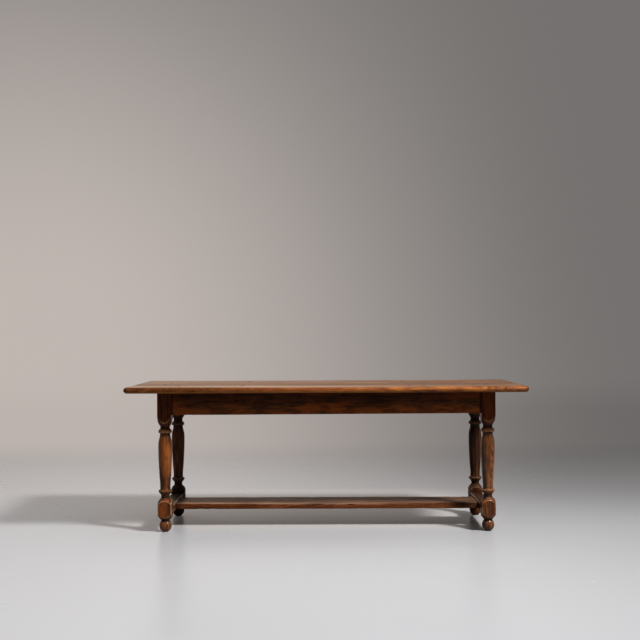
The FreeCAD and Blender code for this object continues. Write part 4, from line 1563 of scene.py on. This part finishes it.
def bake(piece: bpy.types.Object, tree: bpy.types.NodeTree, values: Mapping[str, object]) -> None:
    """Run a tree on an object and keep the plain mesh that it makes.

    Args:
        piece: The object, whose mesh is the tree's input.
        tree: The geometry node tree.
        values: What each named input gets.
    """
    modifier = piece.modifiers.new(tree.name, "NODES")
    modifier.node_group = tree
    for item in tree.interface.items_tree:
        if item.item_type == "SOCKET" and item.in_out == "INPUT" and item.name in values:
            modifier[item.identifier] = values[item.name]
    piece.update_tag()
    graph = bpy.context.evaluated_depsgraph_get()
    mesh = bpy.data.meshes.new_from_object(piece.evaluated_get(graph), depsgraph=graph)
    mesh.name = piece.name
    piece.modifiers.clear()
    piece.data = mesh
    turn_outward(mesh, melt=0.000001)


@dataclass(frozen=True)
class PegGroup:
    """Like pegs, whittled by hand and driven home."""

    name: str
    node: str
    oak: Oak
    heads: Sequence[tuple[Triple, Triple]]
    radius: float
    length: float
    sides: int = 11
    bite: float = 0.0003
    seed: int = 4

    def _heads_object(self) -> bpy.types.Object:
        """Make the points where the heads lie, with the way each one faces."""
        mesh = bpy.data.meshes.new(f"{self.name}_heads")
        mesh.from_pydata([place for place, _ in self.heads], [], [])
        layer = mesh.attributes.new(FACING, "FLOAT_VECTOR", "POINT")
        layer.data.foreach_set("vector", [part for _, facing in self.heads for part in facing])
        return add_object(self.name, mesh)

    def _tree(self) -> bpy.types.NodeTree:
        """Build the tree that sets one whittled peg on each point.

        Returns:
            The geometry node tree.
        """
        inputs = {
            "Heads": "Geometry",
            "Radius": "Float",
            "Length": "Float",
            "Sides": "Int",
            "Seed": "Int",
            "Finish": "Material",
        }
        sheet, given = shape_sheet("whittled_pegs", inputs, "Pegs")
        radius, length, seed = given["Radius"], given["Length"], given["Seed"]
        feed = {
            "Vertices": given["Sides"],
            "Side Segments": 24,
            "Fill Segments": 3,
            "Radius": 1.0,
            "Depth": 1.0,
        }
        stick = sheet.add("GeometryNodeMeshCylinder", feed, fill_type="NGON")
        x, y, z = sheet.split(sheet.add("GeometryNodeInputPosition"))
        away = sheet.vector("LENGTH", sheet.join(x, y, 0.0), out=1)
        drop = 0.5 - z
        taper = (0.97 - drop * 0.12) * (1.0 - drop.step(0.025, 0.0) * away * 0.16)
        dome = away * away * drop.step(0.03, 0.0) * 0.0007
        shaped = sheet.join(x * radius * taper, y * radius * taper, -drop * length - dome)
        stick = sheet.add("GeometryNodeSetPosition", {"Geometry": stick, "Position": shaped})

        def chance(low: float, high: float, number: Value) -> Term:
            """Return a random number for each peg."""
            feed = {2: low, 3: high, "Seed": number}
            return sheet.add("FunctionNodeRandomValue", feed, out=1, data_type="FLOAT")

        facing = {"Vector": sheet.named(FACING, "FLOAT_VECTOR")}
        turn = sheet.add("FunctionNodeAlignRotationToVector", facing, axis="Z")
        twist = sheet.join(0.0, 0.0, chance(0.0, math.tau, seed))
        spin = sheet.add("FunctionNodeEulerToRotation", (twist,))
        turn = sheet.add("FunctionNodeRotateRotation", (turn, spin), rotation_space="LOCAL")
        girth = chance(0.93, 1.0, seed + 1)
        feed = {
            "Points": given["Heads"],
            "Instance": stick,
            "Rotation": turn,
            "Scale": sheet.join(girth, girth, 1.0),
        }
        placed = sheet.add("GeometryNodeInstanceOnPoints", feed)
        solid = sheet.add("GeometryNodeRealizeInstances", {"Geometry": placed})
        position = sheet.add("GeometryNodeInputPosition")
        depth = sheet.noise(position, (260.0, 260.0, 260.0), 0.0, detail=1.0) * -self.bite
        feed = {"Vector": sheet.add("GeometryNodeInputNormal"), "Scale": depth}
        inward = sheet.add("ShaderNodeVectorMath", feed, operation="SCALE")
        solid = sheet.add("GeometryNodeSetPosition", {"Geometry": solid, "Offset": inward})
        feed = {"Geometry": solid, "Material": given["Finish"]}
        solid = sheet.add("GeometryNodeSetMaterial", feed)
        sheet.add("NodeGroupOutput", {"Pegs": solid})
        return sheet.tree

    def dress(self) -> None:
        """Build the pegs and put them in place of their node."""
        piece = self._heads_object()
        values = {
            "Radius": self.radius,
            "Length": self.length,
            "Sides": self.sides,
            "Seed": self.seed,
            "Finish": self.oak.material(),
        }
        bake(piece, self._tree(), values)
        settle(piece, self.node)


@dataclass(frozen=True)
class Top:
    """The boarded top and the pegs that hold it down."""

    peg_radius: float = 0.005
    peg_length: float = 0.0635
    peg_shares: tuple[float, ...] = (-0.95, -0.54, 0.54, 0.95)

    def peg_places(self) -> list[tuple[float, float]]:
        """Return where the pegs stand, seen from above."""
        clear = SIZES.leg_x - SIZES.stock / 2
        inset = SIZES.stock / 2 - SIZES.apron_setback - SIZES.apron_thickness / 2
        front, middle, back = SIZES.seams
        across = ((front + middle) / 2, (middle + back) / 2)
        places = []
        for side in (-1, 1):
            places += [(clear * share, side * (SIZES.leg_y + inset)) for share in self.peg_shares]
        for side in (-1, 1):
            places += [(side * (SIZES.leg_x + inset), y) for y in across]
        return places

    def _rims(self, centre: Triple, low: float, high: float) -> tuple[Knot, ...]:
        """Return the dirty rims round the pegs in one board."""
        return tuple(
            Knot(x - centre[0], y - centre[1], self.peg_radius)
            for x, y in self.peg_places()
            if low < y < high
        )

    def dress(self) -> None:
        """Build the four boards and their pegs."""
        front, middle, back = SIZES.seams
        edge = SIZES.width / 2
        bleached = replace(
            TOP_OAK,
            deep=(0.225, 0.108, 0.050),
            middle=(0.435, 0.230, 0.120),
            pale=(0.680, 0.440, 0.280),
            stain_share=0.16,
            glow=(0.46, 0.19, 0.06),
            patina_and_shade=(0.62, 0.27, 0.055),
            # The worn colour also paints light on the nose.
            worn=(0.70, 0.225, 0.040),
            fade=0.15,
        )
        rosy = replace(
            TOP_OAK,
            middle=(0.34, 0.151, 0.061),
            pale=(0.50, 0.26, 0.125),
            glow=(0.44, 0.17, 0.055),
            fade=0.09,
        )
        plan = (
            ("board_front", -edge, front, -1, 0.0003, bleached, (0.02, -0.10), 2.0),
            ("board_front_inner", front, middle, 0, 0.0006, TOP_OAK, (-0.05, 0.12), 9.0),
            ("board_back_inner", middle, back, 0, 0.0003, rosy, (0.03, -0.15), 17.0),
            ("board_back", back, edge, 1, 0.0005, rosy, (-0.02, 0.09), 26.0),
        )
        knots = {
            "board_front": (Knot(-0.42, 0.03, 0.006), Knot(0.83, -0.088, 0.004)),
            "board_front_inner": (Knot(0.31, -0.04, 0.008),),
            "board_back_inner": (Knot(-0.63, 0.02, 0.006),),
            "board_back": (Knot(0.55, 0.05, 0.007),),
        }
        smudges = {
            "board_front": (Knot(0.508, -0.270, 0.036), Knot(0.864, -0.392, 0.010)),
            "board_front_inner": (Knot(-0.800, -0.120, 0.045),),
        }
        for name, low, high, outer, drop, finish, heart, seed in plan:
            centre = (0.0, (low + high) / 2, SIZES.height - SIZES.nose)
            spots = smudges.get(name, ())
            oak = replace(
                finish,
                name=name,
                centre=centre,
                heart=heart,
                seed=seed,
                knots=knots[name],
                rims=self._rims(centre, low, high),
                smudges=tuple(replace(spot, across=spot.across - centre[1]) for spot in spots),
            )
            board = Board(name, f"top_{name}", low, high, outer, drop, oak)
            settle(board.build(), board.node)
        heads = [((x, y, SIZES.height), (0.0, 0.0, 1.0)) for x, y in self.peg_places()]
        oak = replace(PEG_OAK, name="top_peg_oak", seed=41.0)
        PegGroup("pegs_of_top", "top_pegs", oak, heads, self.peg_radius, self.peg_length).dress()


@dataclass(frozen=True)
class Rails:
    """The four aprons under the top and the pegs in their joints."""

    rounds: tuple[float, float, float, float] = (0.002, 0.002, 0.0006, 0.0006)
    front_droop: float = 0.004
    peg_radius: float = 0.0045
    peg_length: float = 0.044
    peg_proud: float = 0.0008
    peg_spacing: float = 0.048
    peg_stagger: float = 0.012
    tenon_length: float = 0.038

    def dress(self) -> None:
        """Build the aprons and their pegs."""
        clear_x = SIZES.leg_x - SIZES.stock / 2
        clear_y = SIZES.leg_y - SIZES.stock / 2
        out_x = SIZES.leg_x + SIZES.stock / 2 - SIZES.apron_setback
        out_y = SIZES.leg_y + SIZES.stock / 2 - SIZES.apron_setback
        bottom = SIZES.underside - SIZES.apron_height
        spans = ((clear_x, out_y, Grain.LENGTHWISE), (clear_y, out_x, Grain.CROSSWISE))
        for word, axis, side, seed, heart in (
            ("front", 0, -1, 33.0, (0.05, -0.07)),
            ("back", 0, 1, 34.0, (-0.06, 0.09)),
            ("left", 1, -1, 37.0, (0.05, 0.08)),
            ("right", 1, 1, 39.0, (-0.04, -0.1)),
        ):
            clear, out, grain = spans[axis]
            near, far = sorted((side * (out - SIZES.apron_thickness), side * out))
            turned = -1 if axis else 1
            low = (*(-clear, near)[::turned], bottom)
            high = (*(clear, far)[::turned], SIZES.underside)
            centre = tuple((a + b) / 2 for a, b in zip(low, high))
            name = f"rail_{word}"
            oak = replace(RAIL_OAK, name=name, grain=grain, centre=centre, heart=heart, seed=seed)
            bar = Bar(name, f"apron_{word}", "rail_oak", low, high, axis, self.rounds, oak)
            droop = self.front_droop if word == "front" else 0.0
            # Each apron is painted darker towards its top, as shade under the top.
            replace(bar, seed=int(seed), droop=droop, painted_shade_top=1.0).dress()
        oak = replace(PEG_OAK, name="rail_peg_oak", seed=45.0)
        pegs = PegGroup(
            "pegs_of_rails", "apron_pegs", oak, self._heads(), self.peg_radius, self.peg_length
        )
        pegs.dress()

    def _heads(self) -> list[tuple[Triple, Triple]]:
        """Return the heads of the pegs on the legs' outer faces."""
        face = SIZES.stock / 2 + self.peg_proud
        inset = SIZES.stock / 2 - self.tenon_length / 2
        middle = SIZES.underside - SIZES.apron_height / 2
        heads: list[tuple[Triple, Triple]] = []
        for x_side in (-1, 1):
            for y_side in (-1, 1):
                for step in (-1, 1):
                    level = middle + step * self.peg_spacing / 2
                    x, y = x_side * (SIZES.leg_x - inset), y_side * (SIZES.leg_y + face)
                    heads.append(((x, y, level + self.peg_stagger / 2), (0.0, float(y_side), 0.0)))
                    x, y = x_side * (SIZES.leg_x + face), y_side * (SIZES.leg_y - inset)
                    heads.append(((x, y, level - self.peg_stagger / 2), (float(x_side), 0.0, 0.0)))
        return heads


@dataclass(frozen=True)
class Stretchers:
    """The end stretchers, the flat centre stretcher and their pegs."""

    end_round: float = 0.003
    centre_round: float = 0.005
    peg_radius: float = 0.0045
    side_peg_length: float = 0.044
    upright_peg_length: float = 0.0308
    proud: float = 0.0008
    end_tenon: float = 0.042
    centre_tenon: float = 0.044
    centre_peg_spacing: float = 0.092

    def dress(self) -> None:
        """Build the stretchers and their pegs."""
        self._dress_ends()
        self._dress_centre()
        self._dress_pegs()

    def _dress_ends(self) -> None:
        """Build the two end stretchers."""
        base = SIZES.block_base
        clear_y = SIZES.leg_y - SIZES.stock / 2
        half = SIZES.end_width / 2
        for word, side, seed, stain, worn, rub in (
            ("left", -1, 51.0, 0.48, (0.46, 0.33, 0.235), 1.8),
            ("right", 1, 55.0, 0.20, (0.34, 0.22, 0.145), 1.1),
        ):
            middle = side * SIZES.leg_x
            low = (middle - half, -clear_y, base)
            high = (middle + half, clear_y, base + SIZES.end_height)
            name, node = f"foot_rail_{word}", f"end_stretcher_{word}"
            oak = replace(
                STRETCHER_OAK,
                name=name,
                grain=Grain.CROSSWISE,
                centre=(middle, 0.0, base + SIZES.end_height / 2),
                heart=(0.02, -0.06),
                seed=seed,
            )
            oak = replace(oak.stained(stain), worn=worn)
            bar = Bar(name, node, "stretcher_oak", low, high, 1, (self.end_round,) * 4, oak)
            replace(bar, seed=int(seed), edge_wear=0.002, rub=rub).dress()

    def _dress_centre(self) -> None:
        """Build the flat centre stretcher, on which feet have stood."""
        reach = SIZES.leg_x - SIZES.end_width / 2
        half = SIZES.centre_width / 2
        bottom = SIZES.block_base + SIZES.centre_lift
        low = (-reach, -half, bottom)
        high = (reach, half, bottom + SIZES.centre_thickness)
        name, node = "foot_board", "centre_stretcher"
        oak = replace(
            STRETCHER_OAK,
            name=name,
            centre=(0.0, 0.0, bottom + SIZES.centre_thickness / 2),
            heart=(0.03, -0.09),
            seed=58.0,
            middle=(0.410, 0.205, 0.112),
            pale=(0.600, 0.350, 0.210),
            worn=(0.50, 0.335, 0.235),
            patina_and_shade=(0.58, 0.30, 0.15),
            glow_share=0.2,
        )
        board = Bar(name, node, "stretcher_oak", low, high, 0, (self.centre_round,) * 4, oak)
        board = replace(board, seed=58, edge_wear=0.0022, rub=1.3, flush=1.0, scoop=0.006)
        # Its right end is painted dark over 0.30 m, as shade and as the right front leg's shadow
        # falling there; its left end is darker over 0.08 m.
        replace(board, dark_low=0.08, dark_high=0.30).dress()

    def _dress_pegs(self) -> None:
        """Build the pegs of the joints below."""
        sides = [(x_side, y_side) for x_side in (-1, 1) for y_side in (-1, 1)]
        inset = SIZES.stock / 2 - self.end_tenon / 2
        out = SIZES.leg_x + SIZES.stock / 2 + self.proud
        level = SIZES.block_base + SIZES.end_height / 2
        outer = [
            ((x_side * out, y_side * (SIZES.leg_y - inset), level), (float(x_side), 0.0, 0.0))
            for x_side, y_side in sides
        ]
        inset = SIZES.end_width / 2 - self.centre_tenon / 2
        gap = self.centre_peg_spacing
        level = SIZES.block_base + SIZES.end_height + self.proud
        upright = [
            ((x_side * (SIZES.leg_x - inset), y_side * gap / 2, level), (0.0, 0.0, 1.0))
            for x_side, y_side in sides
        ]
        for word, node, seed, heads, length in (
            ("foot_rail", "stretcher_pegs", 47.0, outer, self.side_peg_length),
            ("foot_board", "centre_stretcher_pegs", 49.0, upright, self.upright_peg_length),
        ):
            oak = replace(PEG_OAK, name=f"{word}_peg_oak", seed=seed)
            name = "pegs_of_foot_rails" if word == "foot_rail" else "pegs_of_foot_board"
            PegGroup(name, node, oak, heads, self.peg_radius, length).dress()


def dress_legs() -> None:
    """Build the four turned legs."""
    front = {"blotch": 9.0, "stain_share": 0.46}
    # The front right leg's worn colour is lighter, so its ring tips are worn light and painted as
    # highlights, and it has more of its orange tone.
    painted_highlight = {**front, "worn": (0.56, 0.255, 0.095), "glow_share": 0.85}
    back = {"worn": (0.26, 0.13, 0.06), "roughness": 0.5, "polish": 0.12}
    plain, lower = Turning(), Turning(block_below=0.009, upper_neck_height=0.006)
    for word, x_side, y_side, seed, heart, stain, looks, turning, low_dull, foot_dull in (
        ("front_left", -1, -1, 3.0, (0.06, -0.045), 0.93, front, lower, 0.50, 0.0),
        ("front_right", 1, -1, 11.0, (-0.05, 0.06), 0.86, painted_highlight, plain, 0.14, 0.25),
        # The back legs stand in shade: the back left foot is painted darker and duller, and the
        # back right leg much darker, as painted shade.
        ("back_left", -1, 1, 19.0, (0.05, 0.05), 0.85, back, plain, 0.14, 0.75),
        ("back_right", 1, 1, 27.0, (-0.07, -0.03), 0.28, back, plain, 0.14, 0.20),
    ):
        name, node = f"post_{word}", f"leg_{word}"
        centre = (x_side * SIZES.leg_x, y_side * SIZES.leg_y, SIZES.underside / 2)
        oak = replace(LEG_OAK, name=name, centre=centre, heart=heart, seed=seed).stained(stain)
        leg = Leg(name, node, x_side, y_side, replace(oak, **looks), turning)
        replace(leg, low_dull=low_dull, foot_dull=foot_dull).dress()


def dress_tongues() -> None:
    """Give the loose tongues, which stay as the CAD has them, their oak."""
    material = TONGUE_OAK.material()
    for node in ("tongue_front", "tongue_middle", "tongue_back"):
        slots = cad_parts[node].data.materials
        slots.clear()
        slots.append(material)
        LOG.info("%s stays and is dressed", node)


def seen_rays(sheet: Sheet, gloss: float = 1.0) -> Term:
    """Return how much a ray shows the backdrop's look instead of its light.

    Args:
        sheet: The tree.
        gloss: The share that reflections show.

    Returns:
        1 for rays that are seen and 0 for those that light.
    """
    path = sheet.add("ShaderNodeLightPath", out="Is Camera Ray")
    seen = path.most(sheet.other(path, "Is Glossy Ray") * gloss)
    return seen.most(sheet.other(path, "Is Transmission Ray"))


@dataclass(frozen=True)
class Studio:
    """The floor, the backdrop, the lamps and the camera."""

    wall_y: float = 4.4
    wall_half: float = 5.0
    wall_height: float = 5.0
    # The wall's two tones are painted light: grey where the light falls off, warm and pale where it
    # is strong.
    wall_falloff_tones: tuple[Colour, Colour] = ((0.176, 0.167, 0.162), (0.526, 0.470, 0.440))
    floor_half: float = 14.0
    near_tones: tuple[Colour, Colour] = ((0.885, 0.885, 0.905), (0.485, 0.485, 0.495))
    far_tones: tuple[Colour, Colour] = ((0.85, 0.82, 0.81), (0.315, 0.305, 0.305))
    # A warm tone painted into the table's shadow as bounce light.
    warm_bounce_tone: Colour = (1.0, 0.90, 0.84)
    key_place: Triple = (3.06, -2.29, 4.2)
    key_aim: Triple = (0.0, 0.0, 0.35)
    key_size: float = 0.8
    key_power: float = 288.0
    fill: float = 0.62
    low_fill: float = 0.02
    bounce: float = 0.16
    soft_gloss: float = 0.3
    sky: Colour = (0.36, 0.36 * 0.975, 0.36 * 0.96)
    camera_place: Triple = (0.0103, -5.474, 1.030)
    camera_turn: float = 0.0082
    camera_roll: float = -0.0048
    lens: float = 56.25
    sensor: float = 36.0
    shift: tuple[float, float] = (0.0008, 0.0227)

    def _wall_light_and_paint(self, sheet: Sheet, x: Term, z: Value) -> Term:
        """Return the wall's paint with painted light: warm and pale to the left, greyer to the
        right and higher up as the light falls off, with a painted shadow band at its foot.

        Args:
            sheet: The tree.
            x: The place along the wall.
            z: The height.

        Returns:
            The colour.
        """
        high = z.step(6.6, 1.2) if isinstance(z, Term) else 1.0
        low = z.step(0.65, 0.2) if isinstance(z, Term) else 1.0
        # Painted light: a warm, pale pool on the left that fades higher up.
        glow = (x + z * 0.2).step(3.2, -2.3) * (0.1 + high * 0.9)
        paint = sheet.blend(glow, *self.wall_falloff_tones)
        # Painted shadow: a band at the wall's foot, darker to the right.
        return sheet.blend((x.step(-1.2, 2.4) * 0.105 + 0.045) * low, paint, BLACK)

    def _backdrop_material(self) -> bpy.types.Material:
        """Build the wall's paint with its painted light, shown as glow to seen rays."""
        made = bpy.data.materials.new("wall_light_and_paint")
        sheet = shader_sheet(made)
        x, _, z = sheet.split(sheet.add("ShaderNodeTexCoord", out="Object"))
        paint = self._wall_light_and_paint(sheet, x, z)
        matt = sheet.add("ShaderNodeBsdfDiffuse", {"Color": paint})
        shown = sheet.add("ShaderNodeEmission", {"Color": paint})
        surface = sheet.add("ShaderNodeMixShader", {0: seen_rays(sheet), 1: matt, 2: shown})
        sheet.add("ShaderNodeOutputMaterial", {"Surface": surface})
        return made

    def _floor_material(self) -> bpy.types.Material:
        """Build the floor's pale, slightly shiny paint, with painted light and shade in it."""
        made = bpy.data.materials.new("floor_light_and_paint")
        sheet = shader_sheet(made)
        place = sheet.add("ShaderNodeTexCoord", out="Object")
        x, y, _ = sheet.split(place)
        sight = x / (y - self.camera_place[1])
        # The near floor is painted paler to the left to even out the key lamp's fall-off; the far
        # floor is painted paler to the left and greyer to the right, as painted light falling off.
        near = sheet.blend(x.step(-2.6, 2.9), *self.near_tones)
        far = sheet.blend(sight.step(-0.26, 0.24), *self.far_tones)
        paint = sheet.blend(y.step(-0.3, 1.5) * 0.85 + y.step(1.2, 2.2) * 0.15, near, far)
        # Painted shade: the floor is darker towards the right.
        paint = sheet.blend(x.step(0.4, 2.2) * 0.19, paint, BLACK)
        # Painted bounce light: a warm patch in the table's shadow stands for light thrown off the
        # wood.
        under = x.step(-1.5, -0.9) * x.step(1.1, 0.4) * y.step(-0.28, 0.02) * y.step(1.3, 0.8)
        paint = sheet.blend(under * 0.6, paint, self.warm_bounce_tone)
        # Near the wall, seen rays show the wall's painted light as glow.
        sweep = self._wall_light_and_paint(sheet, sight * (self.wall_y - self.camera_place[1]), 0.0)
        cloud = sheet.noise(place, (1.6, 1.6, 1.0), 4.0, detail=3.0)
        thrown = (self.bounce, self.bounce, self.bounce)
        colour = sheet.blend(seen_rays(sheet, self.soft_gloss), thrown, paint)
        feed = {"Base Color": colour, "Roughness": 0.2 + cloud * 0.12}
        surface = sheet.add("ShaderNodeBsdfPrincipled", feed)
        shown = sheet.add("ShaderNodeEmission", {"Color": sweep})
        share = y.step(2.3, 4.2) * y.step(4.6, 4.4) * seen_rays(sheet)
        surface = sheet.add("ShaderNodeMixShader", {0: share, 1: surface, 2: shown})
        sheet.add("ShaderNodeOutputMaterial", {"Surface": surface})
        return made

    def _sheet_object(
        self, name: str, corners: Sequence[Triple], material: bpy.types.Material
    ) -> None:
        """Make one flat stage piece.

        Args:
            name: Its name.
            corners: Its four corners.
            material: Its paint.
        """
        mesh = bpy.data.meshes.new(name)
        mesh.from_pydata(corners, [], [(0, 1, 2, 3)])
        mesh.materials.append(material)
        made = add_object(name, mesh)

    def build(self) -> None:
        """Build the studio."""
        reach = self.floor_half
        corners = [(x * reach, y * reach, 0.0) for x, y in ((-1, -1), (1, -1), (1, 1), (-1, 1))]
        self._sheet_object("studio_floor", corners, self._floor_material())
        half, back, high = self.wall_half, self.wall_y, self.wall_height
        corners = ((-half, back, 0.0), (half, back, 0.0), (half, back, high), (-half, back, high))
        self._sheet_object("studio_wall", corners, self._backdrop_material())
        self._world()
        self._lamp("key_lamp", self.key_place, self.key_aim, self.key_size, self.key_power)
        self._camera()
        bpy.context.scene.view_settings.view_transform = "Standard"

    def _world(self) -> None:
        """Light the scene softly from all sides and show a pale sky."""
        world = bpy.data.worlds.new("studio_world")
        sheet = shader_sheet(world)
        seen = seen_rays(sheet, self.soft_gloss)
        _, _, rise = sheet.split(sheet.add("ShaderNodeTexCoord", out="Generated"))
        above = rise.most(0.0)
        fill = sheet.blend(above * above, (self.low_fill,) * 3, (self.fill,) * 3)
        surface = sheet.add("ShaderNodeBackground", {"Color": sheet.blend(seen, fill, self.sky)})
        sheet.add("ShaderNodeOutputWorld", {"Surface": surface})
        bpy.context.scene.world = world

    def _lamp(self, name: str, place: Triple, aim: Triple, size: float, power: float) -> None:
        """Make one soft lamp.

        Args:
            name: Its name.
            place: Where it hangs.
            aim: The point that it faces.
            size: The side of its square panel.
            power: Its power in watts.
        """
        lamp = bpy.data.lights.new(name, "AREA")
        lamp.shape = "SQUARE"
        lamp.size = size
        lamp.energy = power
        made = add_object(name, lamp)
        made.location = place
        made.rotation_euler = (Vector(aim) - Vector(place)).to_track_quat("-Z", "Y").to_euler()

    def _camera(self) -> None:
        """Place the camera at the photograph's viewing angle."""
        camera = bpy.data.cameras.new("camera")
        camera.sensor_width = self.sensor
        camera.lens = self.lens
        camera.shift_x, camera.shift_y = self.shift
        camera.clip_end = 100.0
        made = add_object("camera", camera)
        made.location = self.camera_place
        turn = Matrix.Rotation(self.camera_turn, 4, "Z") @ Matrix.Rotation(math.pi / 2, 4, "X")
        made.rotation_euler = (turn @ Matrix.Rotation(self.camera_roll, 4, "Z")).to_euler()
        bpy.context.scene.camera = made


def main() -> None:
    """Build the studio and the table, piece by piece."""
    logging.basicConfig(level=logging.INFO, format="%(name)s: %(message)s")
    Studio().build()
    dress_legs()
    Rails().dress()
    Stretchers().dress()
    Top().dress()
    dress_tongues()


if __name__ == "__main__":
    main()
